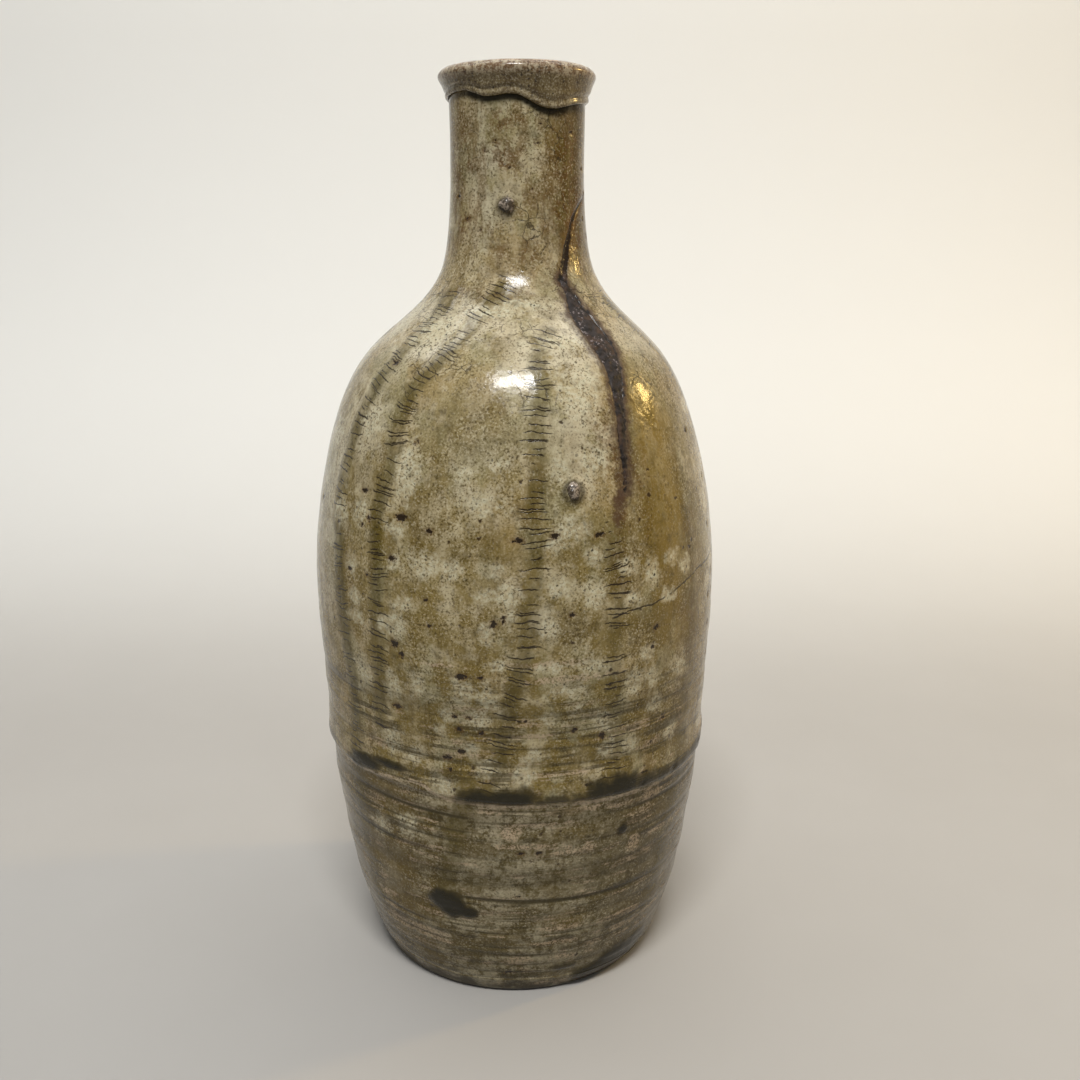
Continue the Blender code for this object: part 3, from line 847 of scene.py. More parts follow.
def make_base():
    rows = rows_of(FOOT_LEVEL, BASE_TOP)
    below = underside_loops()
    top = [
        loop_at(FLOOR_RADIUS + 0.5, BASE_TOP - JOINT),
        loop_at(FLOOR_RADIUS, BASE_TOP + 0.4),
        loop_at(FLOOR_RADIUS, INSIDE_FLOOR - 0.2),
        loop_at(FLOOR_RADIUS - 0.6, INSIDE_FLOOR),
    ]
    top += [loop_at(radius, INSIDE_FLOOR) for radius in (30.0, 18.0, 8.0, 2.0)]
    loops = np.concatenate([np.stack(below), surface[rows], np.stack(top)])
    start = len(below)
    count = rows.stop - rows.start
    fields = {}
    for label, values in FIELDS.items():
        stored = np.full(loops.shape[:2], OUTER.get(label, 0.0))
        stored[start : start + count] = values[rows]
        stored[start - 2 : start] = values[rows.start]
        fields[label] = stored
    fields["bare"] = np.zeros(loops.shape[:2])
    fields["bare"][: start - 2] = 1.0
    return turned_mesh("base_slab", loops, fields, capped=True)


def make_lower():
    inner = [
        join_loop(radius_at(JOIN_FRONT) - 0.6, -JOINT),
        join_loop(inner_radius(JOIN_FRONT) + 0.3, -JOINT),
        join_loop(inner_radius(JOIN_FRONT), -0.5),
    ]
    inner += [loop_at(inner_radius(height), height) for height in LOWER_INSIDE]
    inner += [
        loop_at(FLOOR_RADIUS + 0.35, INSIDE_FLOOR),
        loop_at(FLOOR_RADIUS + 0.35, BASE_TOP + JOINT + 0.4),
        loop_at(FLOOR_RADIUS + 0.9, BASE_TOP + JOINT),
    ]
    return skin_piece("lower_wall", rows_of(BASE_TOP, JOIN_FRONT), inner)


def make_upper():
    bore = bore_radius(NECK_FOOT)
    inner = [
        loop_at(radius_at(NECK_FOOT) - 0.5, NECK_FOOT - JOINT),
        loop_at(bore + 0.2, NECK_FOOT - JOINT),
        loop_at(bore, NECK_FOOT - 0.5),
    ]
    inner += [loop_at(*place) for place in SHOULDER_INSIDE]
    inner += [loop_at(inner_radius(height), height) for height in UPPER_INSIDE]
    inner += [
        join_loop(inner_radius(JOIN_FRONT), 0.5),
        join_loop(inner_radius(JOIN_FRONT) + 0.3, JOINT),
        join_loop(radius_at(JOIN_FRONT) - 0.6, JOINT),
    ]
    return skin_piece("upper_wall", rows_of(JOIN_FRONT, NECK_FOOT), inner)


def bore_radius(height):
    """The radius of the neck's bore."""
    return np.interp(height, BORE_HEIGHTS, BORE_RADII)


def bore_loop(height):
    """A ring inside the neck, with the unevenness of a throwing finger."""
    loop = loop_at(bore_radius(height), height)
    stretched = loop * (0.12, 0.12, 1.0)
    wave = 0.22 * noise(stretched, 4.0, 51) + 0.1 * noise(loop, 5.0, 52)
    return loop_at(bore_radius(height) + wave, height)


def make_neck():
    inner = [
        loop_at(radius_at(NECK_TOP) - 0.4, NECK_TOP - 0.3),
        loop_at(bore_radius(NECK_TOP) + 0.3, NECK_TOP - 0.3),
    ]
    inner += [bore_loop(height) for height in np.arange(NECK_TOP - 1.0, NECK_FOOT + 1.0, -1.4)]
    inner += [
        loop_at(bore_radius(NECK_FOOT) + 0.2, NECK_FOOT + JOINT),
        loop_at(radius_at(NECK_FOOT) - 0.5, NECK_FOOT + JOINT),
    ]
    return skin_piece("neck_wall", rows_of(NECK_FOOT, NECK_TOP), inner)


# ---------------------------------------------------------------- the rolled lip

LIP_COLUMNS = 540
# The lip's section from the fold's hidden top, round its free edge and over into the mouth.
# FOLD: mm above the free edge, mm out from the neck's face. FLARE: share of the way up to the
# widest ring, share of the way out to it. CROWN: height and radius in mm.
FOLD = ((1.7, 0.06), (0.8, 0.10), (0.3, 0.28), (0.02, 0.62), (0.0, 0.95), (0.22, 1.28),
        (0.62, 1.44), (1.1, 1.42), (1.7, 1.28))
FLARE = ((0.40, 0.31), (0.55, 0.45), (0.70, 0.63), (0.82, 0.80), (0.92, 0.93), (1.0, 1.0))
CROWN = ((267.7, 22.75), (268.4, 22.55), (269.0, 22.1), (269.5, 21.4), (269.85, 20.5),
         (270.0, 19.5), (269.9, 18.4), (269.6, 17.4), (269.1, 16.6), (268.3, 16.1),
         (267.2, 15.8), (266.0, 15.6), (264.95, 15.45))
LIP_WIDEST = (267.2, 22.7)  # height, radius
FOLD_TOP = FOLD[-1][0]
FOLD_STAND = 1.2  # how far the section stands out from the neck above the fold


def densify(section, step):
    """Points every step mm along a section that varies round the pot."""
    section = np.array(section)
    marks = running_length(*np.diff(section.mean(axis=1), axis=0).T)
    places = np.linspace(0.0, marks[-1], int(marks[-1] / step))
    return curve_at(marks, section, places)


def make_lip():
    azimuth = np.linspace(-180.0, 180.0, LIP_COLUMNS, endpoint=False)
    edge = lip_edge_at(azimuth)
    level = 0.0 * edge
    face = radius_at(NECK_TOP) + 0.1
    rim, widest = LIP_WIDEST
    section = [np.stack([face + out + level, edge + up], axis=-1) for up, out in FOLD]
    for share, flare in FLARE:
        start = edge + FOLD_TOP
        radius = face + FOLD_STAND + flare * (widest - face - FOLD_STAND)
        height = start + (rim - start) * (share - 0.25) / 0.75
        section.append(np.stack([radius + level, height], axis=-1))
    section += [np.stack([radius + level, height + level], axis=-1) for height, radius in CROWN]
    section = densify(section, 0.26)
    radius, height = section[..., 0], section[..., 1]
    loops = np.stack([loop_at(r, z, azimuth) for r, z in zip(radius, height)])
    # The rim is not quite round or level, and small dents and bulges break the fold.
    wave = 0.28 * noise(loops, 22.0, 41) + 0.10 * noise(loops, 6.0, 42)
    wave = wave + 0.05 * rough(loops, 2.2, 43, 2)
    hidden = (1.0 - smooth(0.1, 0.5, radius - face)) * (height < rim)
    uneven = radius + wave * (1.0 - hidden)
    loops = np.stack([loop_at(r, z, azimuth) for r, z in zip(uneven, height)])
    crown = smooth(266.5, 269.0, height)
    loops[..., 2] += 0.12 * crown * noise(loops * (1, 1, 0), 15.0, 44) - 0.06 * crown
    # Closed behind the fold, against the neck.
    close = [
        loop_at(bore_radius(NECK_TOP) + 0.5, NECK_TOP + 0.08, azimuth),
        loop_at(face - 0.6, NECK_TOP + 0.08, azimuth),
        loop_at(face, NECK_TOP - 0.3, azimuth),
    ]
    fields = {
        "above_edge": height - edge,
        "lip_out": radius - face,
        "inner": smooth(19.5, 16.5, radius) * (height > 262.0),
    }
    return turned_mesh("rolled_lip", np.concatenate([loops, np.stack(close)]), fields)


# ---------------------------------------------------------------- slag and grit

def wall_point(azimuth, height, outwards):
    """A point in mm at a distance outwards from the plain wall."""
    return Skin(np.asarray(azimuth, float), np.asarray(height, float)).moved(outwards)


CRUST_COLUMNS = 31
CRUST_TOP = -0.75  # where the crust's edge and its underside lie, in mm from the plain wall
CRUST_BOTTOM = -1.3


def make_slag():
    """The dark crust that fills the crack: a ribbon with a rough, blistered top."""
    azimuth, height, places = path_through(SCAR, 0.4)
    marks = np.linspace(0.0, places[-1], len(SCAR))
    half = np.interp(places, marks, SCAR_HALF_WIDTHS) * 0.93
    turn = np.radians(np.gradient(azimuth)) * radius_at(height)
    climb = np.gradient(arc_at(height))
    size = np.hypot(turn, climb)
    across = np.linspace(-1.0, 1.0, CRUST_COLUMNS)
    side_x = (climb / size)[:, None]
    side_y = (-turn / size)[:, None]
    taper = np.sqrt(np.clip(np.minimum(places, places[-1] - places) / 2.0, 0.02, 1.0))[:, None]
    seed_points = np.stack([places, 3.0 * places, np.full_like(places, 5.0)], axis=-1)
    ragged_left = 1.0 + 0.16 * noise(seed_points, 3.0, 61)[:, None]
    ragged_right = 1.0 + 0.16 * noise(seed_points + 40.0, 3.0, 62)[:, None]
    reach = half[:, None] * taper * across * np.where(across < 0, ragged_left, ragged_right)
    spot_arc = arc_at(height)[:, None] + reach * side_y
    spot_height = height_at(spot_arc)
    spot_azimuth = azimuth[:, None] + np.degrees(reach * side_x / radius_at(spot_height))
    flat = wall_point(spot_azimuth, spot_height, 0.0)
    crust = 0.34 * rough(flat, 2.6, 63, 3) + 0.16 * noise(flat, 0.9, 65)
    bulge = np.sqrt(np.clip(1.0 - across**2, 0.0, 1.0))
    top = CRUST_TOP + 0.62 * bulge * taper + crust * smooth(1.0, 0.75, np.abs(across))
    upper = wall_point(spot_azimuth, spot_height, top)
    lower = wall_point(spot_azimuth, spot_height, CRUST_BOTTOM)
    loops = np.concatenate([upper, lower[:, ::-1]], axis=1)
    return turned_mesh("crack_crust", loops, capped=True)


GRIT_FACES = 16
EDGE_SHARPNESS = 14.0


def make_grit(name, azimuth, height, sizes, seed, lean):
    """A lump of kiln grit: an angular stone half sunk in the glaze."""
    builder = bmesh.new()
    bmesh.ops.create_icosphere(builder, subdivisions=5, radius=1.0)
    directions = np.array([v.co[:] for v in builder.verts])
    draws = np.random.default_rng(seed)
    planes = draws.normal(size=(GRIT_FACES, 3))
    planes /= np.linalg.norm(planes, axis=1)[:, None]
    cuts = draws.uniform(0.66, 0.95, size=GRIT_FACES)
    facing = directions @ planes.T
    reach = np.where(facing > 0.05, cuts / np.maximum(facing, 0.05), 9.0)
    worn = np.exp(-EDGE_SHARPNESS * np.minimum(reach, 1.15)).sum(axis=1)
    radius = -np.log(worn) / EDGE_SHARPNESS
    radius = np.clip(radius + 0.12, 0.4, 1.1)
    radius = radius + 0.05 * rough(directions * 10.0, 4.0, seed, 3)
    local = directions * radius[:, None] * np.array(sizes)
    local[:, 0] += lean * local[:, 2]
    angle = math.radians(azimuth)
    slope = float(radius_at(height + 0.5) - radius_at(height - 0.5))
    out = np.array([math.sin(angle), -math.cos(angle), -slope]) / math.hypot(1.0, slope)
    side = np.array([math.cos(angle), math.sin(angle), 0.0])
    up = np.cross(out, side)
    place = wall_point(azimuth, height, 0.15)
    for vertex, (across, rise, stand) in zip(builder.verts, local):
        vertex.co = (place + side * across + up * rise + out * stand) * MM
    mesh = bpy.data.meshes.new(name)
    builder.to_mesh(mesh)
    builder.free()
    mesh.shade_smooth()
    return mesh


# ---------------------------------------------------------------- node helper

class Nodes:
    """Short names for the nodes of one material, and the colour built up so far."""

    def __init__(self, name):
        self.material = bpy.data.materials.new(name)
        self.material.use_nodes = True
        self.tree = self.material.node_tree
        self.tree.nodes.clear()
        self.place = self.scaled(self.node("ShaderNodeTexCoord").outputs["Object"],
                                 (1.0 / MM,) * 3)
        self.x, self.y, self.z = self.parts("XYZ", self.place)
        self.colour = None

    def node(self, kind, **settings):
        node = self.tree.nodes.new(kind)
        for setting, value in settings.items():
            setattr(node, setting, value)
        return node

    def join(self, source, socket):
        if isinstance(source, bpy.types.NodeSocket):
            self.tree.links.new(source, socket)
        elif source is not None:
            socket.default_value = source

    def parts(self, kind, source):
        node = self.node("ShaderNodeSeparate" + kind)
        self.join(source, node.inputs[0])
        return node.outputs

    def scaled(self, vector, scale):
        node = self.node("ShaderNodeVectorMath", operation="MULTIPLY")
        self.join(vector, node.inputs[0])
        node.inputs[1].default_value = scale
        return node.outputs[0]

    def moved(self, vector, other, amount):
        node = self.node("ShaderNodeVectorMath", operation="MULTIPLY_ADD")
        self.join(other, node.inputs[0])
        node.inputs[1].default_value = (amount,) * 3
        self.join(vector, node.inputs[2])
        return node.outputs[0]

    def calc(self, operation, *values):
        node = self.node("ShaderNodeMath", operation=operation)
        for value, socket in zip(values, node.inputs):
            self.join(value, socket)
        return node.outputs[0]

    def mul(self, *values):
        return functools.reduce(lambda a, b: self.calc("MULTIPLY", a, b), values)

    def add(self, *values):
        return functools.reduce(lambda a, b: self.calc("ADD", a, b), values)

    def sub(self, a, b):
        return self.calc("SUBTRACT", a, b)

    def most(self, *values):
        return functools.reduce(lambda a, b: self.calc("MAXIMUM", b, a), reversed(values))

    def absolute(self, value):
        return self.calc("ABSOLUTE", value)

    def swing(self, value, width):
        """A value from 0 to 1 moved to swing round 0, width wide."""
        return self.mul(self.sub(value, 0.5), width)

    def ramp(self, value, low, high, bottom=0.0, top=1.0):
        node = self.node("ShaderNodeMapRange", interpolation_type="SMOOTHSTEP")
        for socket, number in zip(node.inputs[:5], (value, low, high, bottom, top)):
            self.join(number, socket)
        return node.outputs[0]

    def band(self, value, low, high, soft):
        """1 between low and high, soft at both ends."""
        return self.mul(
            self.ramp(value, low - soft, low + soft), self.ramp(value, high + soft, high - soft)
        )

    def field(self, label):
        return self.node("ShaderNodeAttribute", attribute_name=label).outputs["Fac"]

    def noise(self, size, detail=3.0, rough=0.55, stretch=None, colour=False):
        """Noise with features of a size in mm, drawn out where stretch is below 1."""
        node = self.node("ShaderNodeTexNoise")
        self.join(self.scaled(self.place, stretch) if stretch else self.place,
                  node.inputs["Vector"])
        node.inputs["Scale"].default_value = 1.0 / size
        node.inputs["Detail"].default_value = detail
        node.inputs["Roughness"].default_value = rough
        return node.outputs["Color" if colour else "Fac"]

    def cells(self, size, vector, feature="F1", output="Distance"):
        node = self.node("ShaderNodeTexVoronoi", feature=feature)
        self.join(vector, node.inputs["Vector"])
        node.inputs["Scale"].default_value = 1.0 / size
        return node.outputs[output]

    def mix(self, factor, below, above):
        node = self.node("ShaderNodeMix", data_type="RGBA", blend_type="MIX", clamp_factor=True)
        self.join(factor, node.inputs["Factor"])
        for socket, colour in ((node.inputs[6], below), (node.inputs[7], above)):
            self.join((*colour, 1.0) if isinstance(colour, tuple) else colour, socket)
        return node.outputs[2]

    def lay(self, tint, *amounts):
        """Lays a tint over the colour so far, as strongly as the product of the amounts."""
        self.colour = self.mix(self.mul(*amounts), self.colour, tint)

    def saturate(self, saturation):
        node = self.node("ShaderNodeHueSaturation")
        node.inputs["Saturation"].default_value = saturation
        self.join(self.colour, node.inputs["Color"])
        self.colour = node.outputs[0]

    def bump(self, height, depth):
        """height from about 0 to 1, standing depth mm tall."""
        node = self.node("ShaderNodeBump")
        node.inputs["Strength"].default_value = 1.0
        node.inputs["Distance"].default_value = depth * MM
        self.join(height, node.inputs["Height"])
        return node.outputs[0]

    def finish(self, roughness, normal=None, coat=0.0, coat_roughness=0.1, specular=0.23):
        shader = self.node("ShaderNodeBsdfPrincipled")
        self.join(self.colour, shader.inputs["Base Color"])
        self.join(roughness, shader.inputs["Roughness"])
        self.join(normal, shader.inputs["Normal"])
        shader.inputs["Coat Weight"].default_value = coat
        shader.inputs["Coat Roughness"].default_value = coat_roughness
        shader.inputs["Specular IOR Level"].default_value = specular
        output = self.node("ShaderNodeOutputMaterial")
        self.join(shader.outputs[0], output.inputs[0])
        return self.material


# ---------------------------------------------------------------- colours (linear)

KHAKI = (0.335, 0.275, 0.150)
BEIGE = (0.52, 0.45, 0.30)
TAN = (0.30, 0.215, 0.098)
GREY_GREEN = (0.295, 0.275, 0.165)
OLIVE_GROUND = (0.190, 0.137, 0.040)
OLIVE_BROWN = (0.130, 0.088, 0.024)
OLIVE = (0.078, 0.058, 0.011)
DARK_OLIVE = (0.034, 0.025, 0.007)
POOL = (0.0125, 0.0105, 0.0040)
AMBER = (0.205, 0.135, 0.030)
RUST = (0.105, 0.050, 0.017)
BROWN_BLACK = (0.016, 0.010, 0.006)
MILKY = (0.56, 0.53, 0.385)
PALE_GREY = (0.56, 0.50, 0.36)
PINKISH = (0.47, 0.36, 0.25)
LOWER_DARK = (0.105, 0.082, 0.034)
LOWER_PALE = (0.325, 0.285, 0.190)
HALO = (0.060, 0.034, 0.020)
SLATE = (0.014, 0.0105, 0.0085)
LAVENDER = (0.27, 0.225, 0.22)
BELLY_DARK = (0.285, 0.225, 0.108)
BELLY_PALE = (0.435, 0.370, 0.230)
SHOULDER_PALE = (0.60, 0.545, 0.41)
SMOKE = (0.165, 0.110, 0.050)
NECK_SHADE = (0.085, 0.056, 0.020)
LOWER_BLOTCH = (0.105, 0.076, 0.025)
LOWER_BLOOM = (0.36, 0.325, 0.225)
SHELF_PALE = (0.40, 0.345, 0.235)
LOWER_RIGHT_SHADE = (0.070, 0.050, 0.013)
LOWER_LEFT = (0.125, 0.080, 0.012)
BARE_EDGE = (0.52, 0.42, 0.30)
PATCH_OLIVE = (0.120, 0.083, 0.021)
DARK_GRAIN = (0.066, 0.044, 0.016)
BURNT_SPECK = (0.035, 0.020, 0.010)
SCAR_STAIN = (0.080, 0.048, 0.031)
FOOT_SHADE_AND_BURN = (0.045, 0.036, 0.021)
CLAY_DARK = (0.15, 0.092, 0.055)
CLAY_PALE = (0.26, 0.175, 0.108)
LIP_BROWN = (0.175, 0.135, 0.065)
LIP_OLIVE = (0.125, 0.088, 0.033)
LIP_STREAK = (0.070, 0.045, 0.015)
LIP_RUST = (0.165, 0.095, 0.047)
LIP_BUFF = (0.42, 0.345, 0.235)
LIP_EDGE_HIGHLIGHT = (0.33, 0.28, 0.18)
CROWN_TAN = (0.42, 0.28, 0.175)
LIP_DARK_GRAIN = (0.055, 0.032, 0.016)
LIP_PALE_GRAIN = (0.42, 0.37, 0.27)
LIP_INSIDE = (0.16, 0.115, 0.055)
SLATE_BROWN = (0.032, 0.024, 0.021)
SLAG_RUST = (0.070, 0.040, 0.023)
STONE_BROWN = (0.060, 0.044, 0.028)
STONE_PALE = (0.34, 0.28, 0.22)
STONE_DARK = (0.025, 0.018, 0.012)
TABLE_GREY = (0.40, 0.385, 0.36)
WALL_WHITE = (0.74, 0.735, 0.70)
PAPER_WHITE = (0.9, 0.9, 0.88)


# ---------------------------------------------------------------- materials

def specks(m, size, reach, amount):
    """Small dark dots, one in each of some cells, as 0 to 1."""
    warped = m.moved(m.place, m.noise(size * 0.7, 2.0, colour=True), size * 0.8)
    distance = m.cells(size, warped)
    chosen = m.parts("Color", m.cells(size, warped, output="Color"))[0]
    chance = m.add(chosen, m.swing(m.noise(size * 7.0, 2.0), 0.9))
    return m.mul(m.ramp(distance, reach, reach * 0.45),
                 m.ramp(chance, 1.0 - amount, 1.06 - amount))


def hairline(m, distance, width, breaks=0.0):
    """A thin dark line along a signed distance of 0, wandering a little."""
    wander = m.swing(m.noise(3.0, 3.0), 1.3)
    line = m.ramp(m.absolute(m.add(distance, wander)), width, width * 0.35)
    if breaks:
        line = m.mul(line, m.ramp(m.noise(5.0, 2.0), breaks - 0.1, breaks + 0.1))
    return line


def rungs(m, period, longest, seed):
    """Short cross cracks that ladder down a run, from the run's own coordinates."""
    across, along = m.field("ladder_across"), m.field("ladder_along")
    lean = m.sub(m.noise(11.0, 1.0), 0.5)
    wander = m.add(m.swing(m.noise(2.6, 3.0), 1.5), m.mul(across, m.mul(lean, 0.9)))
    place = m.calc("DIVIDE", m.add(along, wander, seed), period)
    number = m.calc("FLOOR", place)
    draw = m.node("ShaderNodeTexWhiteNoise", noise_dimensions="1D")
    m.join(number, draw.inputs["W"])
    first, second, third = m.parts("Color", draw.outputs["Color"])
    centre = m.add(0.16, m.mul(second, 0.68))
    offset = m.mul(m.absolute(m.sub(m.calc("FRACT", place), centre)), period)
    line = m.ramp(offset, 0.25, 0.10)
    half = m.mul(m.sub(first, 0.12), longest)
    sideways = m.absolute(m.add(across, m.swing(third, 3.4)))
    reach = m.ramp(m.sub(half, sideways), 0.0, 1.1)
    return m.mul(line, reach, m.field("ladder_near"))


def glaze(name):
    """The ash glaze of the walls and neck, with painted shade on the right side, the lower wall
    and the foot, under the lip and round the grit.
    """
    m = Nodes(name)
    big = m.noise(34.0, 3.0)
    mid = m.noise(8.5, 4.0, 0.6)
    small = m.noise(2.3, 4.0, 0.62)
    grain = m.noise(0.62, 2.0, 0.6)
    drawn = m.noise(5.0, 4.0, 0.62, stretch=(1.0, 1.0, 0.22))
    above = m.field("above_ledge")
    below = m.ramp(above, 0.6, -0.6)

    # Ground: beige and khaki, with greenish strips that ran down and clouds of olive low down.
    tone = m.add(m.mul(mid, 0.45), m.mul(small, 0.3), m.mul(drawn, 0.25))
    pale_share = m.ramp(tone, 0.455, 0.545)
    m.colour = m.mix(pale_share, KHAKI, BEIGE)
    belly = m.mix(pale_share, BELLY_DARK, BELLY_PALE)
    m.lay(belly, m.ramp(m.field("ground"), 0.2, 0.6))
    m.lay(TAN, m.ramp(big, 0.47, 0.60), 0.55)
    strips = m.noise(6.0, 3.0, 0.55, stretch=(1.0, 1.0, 0.15))
    m.lay(OLIVE_BROWN, m.ramp(strips, 0.50, 0.62), 0.6)
    green = m.noise(13.0, 3.0, 0.55, stretch=(1.0, 1.0, 0.5))
    m.lay(GREY_GREEN, m.ramp(green, 0.49, 0.60), 0.5)
    m.lay(SHOULDER_PALE, m.field("pale"), m.ramp(tone, 0.40, 0.51))
    cloud = m.add(m.mul(m.noise(6.5, 3.0, 0.5), 0.8), m.mul(small, 0.2))
    ground = m.mul(m.field("ground"), m.ramp(cloud, 0.44, 0.56))
    m.lay(OLIVE_GROUND, ground, m.ramp(above, -6.0, 2.0), 0.95)
    side = m.add(m.x, m.swing(mid, 34.0))
    # Painted shade: the right side darkened with olive brown.
    right_side_shade = m.mul(m.ramp(side, 24.0, 48.0), m.ramp(drawn, 0.42, 0.56, 0.4, 1.0))
    m.lay(OLIVE_BROWN, right_side_shade, 0.5)

    smoky = m.mul(m.ramp(m.z, 210.0, 222.0),
                  m.ramp(m.noise(4.0, 4.0, 0.62, stretch=(1.0, 1.0, 0.35)), 0.47, 0.60))
    m.lay(SMOKE, smoky, 0.6)
    # Painted shade: the neck's right side darkened.
    neck_right_shade = m.mul(m.ramp(m.z, 212.0, 224.0),
                      m.ramp(m.add(m.x, m.swing(drawn, 12.0)), 9.0, 16.0))
    m.lay(NECK_SHADE, neck_right_shade, 0.75)

    # Lower wall: darker and greener, blotched with olive brown. Its darkness is partly the glaze
    # and partly painted shade.
    lower_tone = m.mix(pale_share, LOWER_DARK, LOWER_PALE)
    blotch = m.noise(9.0, 3.0, 0.6, stretch=(0.7, 0.7, 1.4))
    lower_tone = m.mix(m.mul(m.ramp(blotch, 0.48, 0.60), 0.65), lower_tone, LOWER_BLOTCH)
    bloom = m.mul(m.ramp(m.noise(7.0, 4.0, 0.7), 0.53, 0.60), m.ramp(small, 0.44, 0.56))
    lower_tone = m.mix(m.mul(bloom, 0.45), lower_tone, LOWER_BLOOM)
    shelf = m.mul(m.ramp(above, -15.0, -3.0), m.ramp(small, 0.42, 0.55), 0.6)
    lower_tone = m.mix(shelf, lower_tone, SHELF_PALE)
    # Painted shade: darker towards the right side.
    lower_tone = m.mix(m.mul(m.ramp(side, 8.0, 40.0), 0.82), lower_tone, LOWER_RIGHT_SHADE)
    lower_tone = m.mix(m.mul(m.ramp(side, -12.0, -40.0), 0.8), lower_tone, LOWER_LEFT)
    m.lay(lower_tone, below, 0.97)

    # Scraped streaks, paler and pinkish, and the bright line just under the ledge.
    level = m.noise(2.2, 3.0, 0.6, stretch=(0.08, 0.08, 1.0))
    scraped = m.mul(m.ramp(level, 0.53, 0.60), m.ramp(m.noise(8.0, 3.0), 0.45, 0.57))
    scraped = m.most(m.mul(scraped, m.ramp(m.z, 118.0, 85.0)),
                     m.ramp(m.add(m.field("streak"), m.swing(small, 2.4)), 0.35, 0.8))
    m.lay(PINKISH, scraped, m.ramp(grain, 0.60, 0.44), 0.85)
    bare_line = m.mul(m.band(m.add(above, m.swing(small, 1.6)), -1.5, -0.3, 0.25),
                      m.ramp(m.noise(7.0, 3.0), 0.38, 0.50))
    m.lay(BARE_EDGE, bare_line, 0.85)

    # Runs, patches, amber and rust.
    depth = m.ramp(m.add(m.mul(drawn, 0.5), m.mul(small, 0.5)), 0.44, 0.55, 0.55, 1.0)
    m.lay(OLIVE, m.field("run"), depth, 0.9)
    m.lay(PATCH_OLIVE, m.field("patch"), depth, 0.88)
    m.lay(AMBER, m.field("amber"), depth, 0.9)
    rust_depth = m.mul(m.field("rust"), m.ramp(m.noise(1.8, 4.0, 0.65), 0.42, 0.56))
    m.lay(RUST, rust_depth, 0.9)

    worn = m.add(m.swing(small, 1.9), m.swing(mid, 0.9))
    mottle = m.ramp(m.add(m.field("mottle"), worn), 0.18, 1.15)
    m.lay(BEIGE, mottle, 0.65)
    milky = m.mul(mottle, m.ramp(m.noise(1.2, 4.0, 0.7), 0.45, 0.57))
    m.lay(MILKY, milky, 0.85)

    # Speckle: fine everywhere, black and dense in the mottles.
    dense = m.ramp(m.noise(5.0, 3.0, 0.6), 0.46, 0.56)
    fine_specks = m.mul(specks(m, 1.05, 0.46, 0.34), m.add(0.38, m.mul(mottle, dense, 0.62)))
    bold_specks = m.mul(specks(m, 2.7, 0.28, 0.08), 0.9)
    glassy = m.most(m.field("run"), m.field("amber"))
    grainy = m.mul(m.sub(1.0, m.mul(glassy, 0.75)),
                   m.ramp(m.noise(10.0, 4.0, 0.65), 0.42, 0.58, 0.5, 1.0))
    dark_grain = m.mul(m.ramp(grain, 0.54, 0.64), grainy, 0.75)
    m.lay(DARK_GRAIN, dark_grain)
    light_grain = m.mul(m.ramp(grain, 0.45, 0.36), grainy, 0.5)
    m.lay(PALE_GREY, light_grain)
    m.lay(BROWN_BLACK, fine_specks, 0.9)
    m.lay(BURNT_SPECK, bold_specks)

    # Throwing lines hold darker glaze.
    lines = m.noise(1.5, 3.0, 0.6, stretch=(0.02, 0.02, 1.0))
    line_depth = m.mul(m.ramp(lines, 0.50, 0.59), m.ramp(m.z, 124.0, 88.0))
    line_depth = m.mul(line_depth, m.ramp(m.noise(10.0, 3.0), 0.42, 0.58, 0.15, 1.0))
    m.lay(DARK_OLIVE, line_depth, 0.7)
    m.lay(DARK_OLIVE, m.ramp(m.field("groove"), 0.1, 0.7), 0.9)
    m.lay(DARK_OLIVE, m.ramp(m.field("rings"), 0.1, -0.9), 0.45)

    ladder = m.most(rungs(m, 2.1, 6.8, 0.0), rungs(m, 3.0, 5.6, 1.7))
    m.lay(BROWN_BLACK, ladder, 0.93)
    web = m.moved(m.place, m.noise(4.0, 3.0, colour=True), 4.0)
    craze = m.ramp(m.cells(5.5, web, "DISTANCE_TO_EDGE"), 0.026, 0.010)
    craze = m.mul(craze, m.ramp(m.noise(18.0, 2.0), 0.5, 0.60),
                  m.ramp(m.z, 172.0, 186.0, 0.12, 1.0))
    m.lay(BROWN_BLACK, craze, 0.7)
    near_crack = m.ramp(m.absolute(m.field("neck_crack")), 3.2, 0.3)
    wide_crack = m.ramp(m.z, 232.0, 213.0, 0.0, 1.0)
    neck_gap = m.sub(m.absolute(m.field("neck_crack")), wide_crack)
    neck_line = m.ramp(m.add(neck_gap, m.swing(m.noise(2.2, 3.0), 1.6)), 0.6, 0.15)
    body_line = m.mul(hairline(m, m.field("body_crack"), 0.34, 0.40), 0.95)
    m.lay(RUST, near_crack, 0.6)
    m.lay(BROWN_BLACK, neck_line, 0.97)
    m.lay(BROWN_BLACK, body_line, 0.9)

    torn = m.swing(m.noise(1.1, 3.0, 0.7), 2.8)
    torn = m.add(m.field("pit"), torn, m.ramp(m.z, 210.0, 216.0, 0.0, -0.35))
    pit = m.ramp(torn, -0.05, 0.25)
    m.lay(RUST, m.ramp(torn, -0.75, 0.3, 0.0, 0.55))
    m.lay(BROWN_BLACK, pit, 0.95)
    pool = m.field("pool")
    pool_edge = m.add(pool, m.swing(m.noise(3.0, 4.0, 0.6), 0.9))
    m.lay(DARK_OLIVE, m.ramp(pool_edge, -0.05, 0.45), 0.9)
    m.lay(POOL, m.ramp(pool_edge, 0.35, 0.85), 0.9)
    # Painted shadow of the lip, with the dark glaze pooled under it.
    m.lay(POOL, m.field("lip_shadow_and_pool"), 0.93)
    # Painted shadow round the lumps of grit.
    m.lay(BROWN_BLACK, m.field("collar"), 0.8)

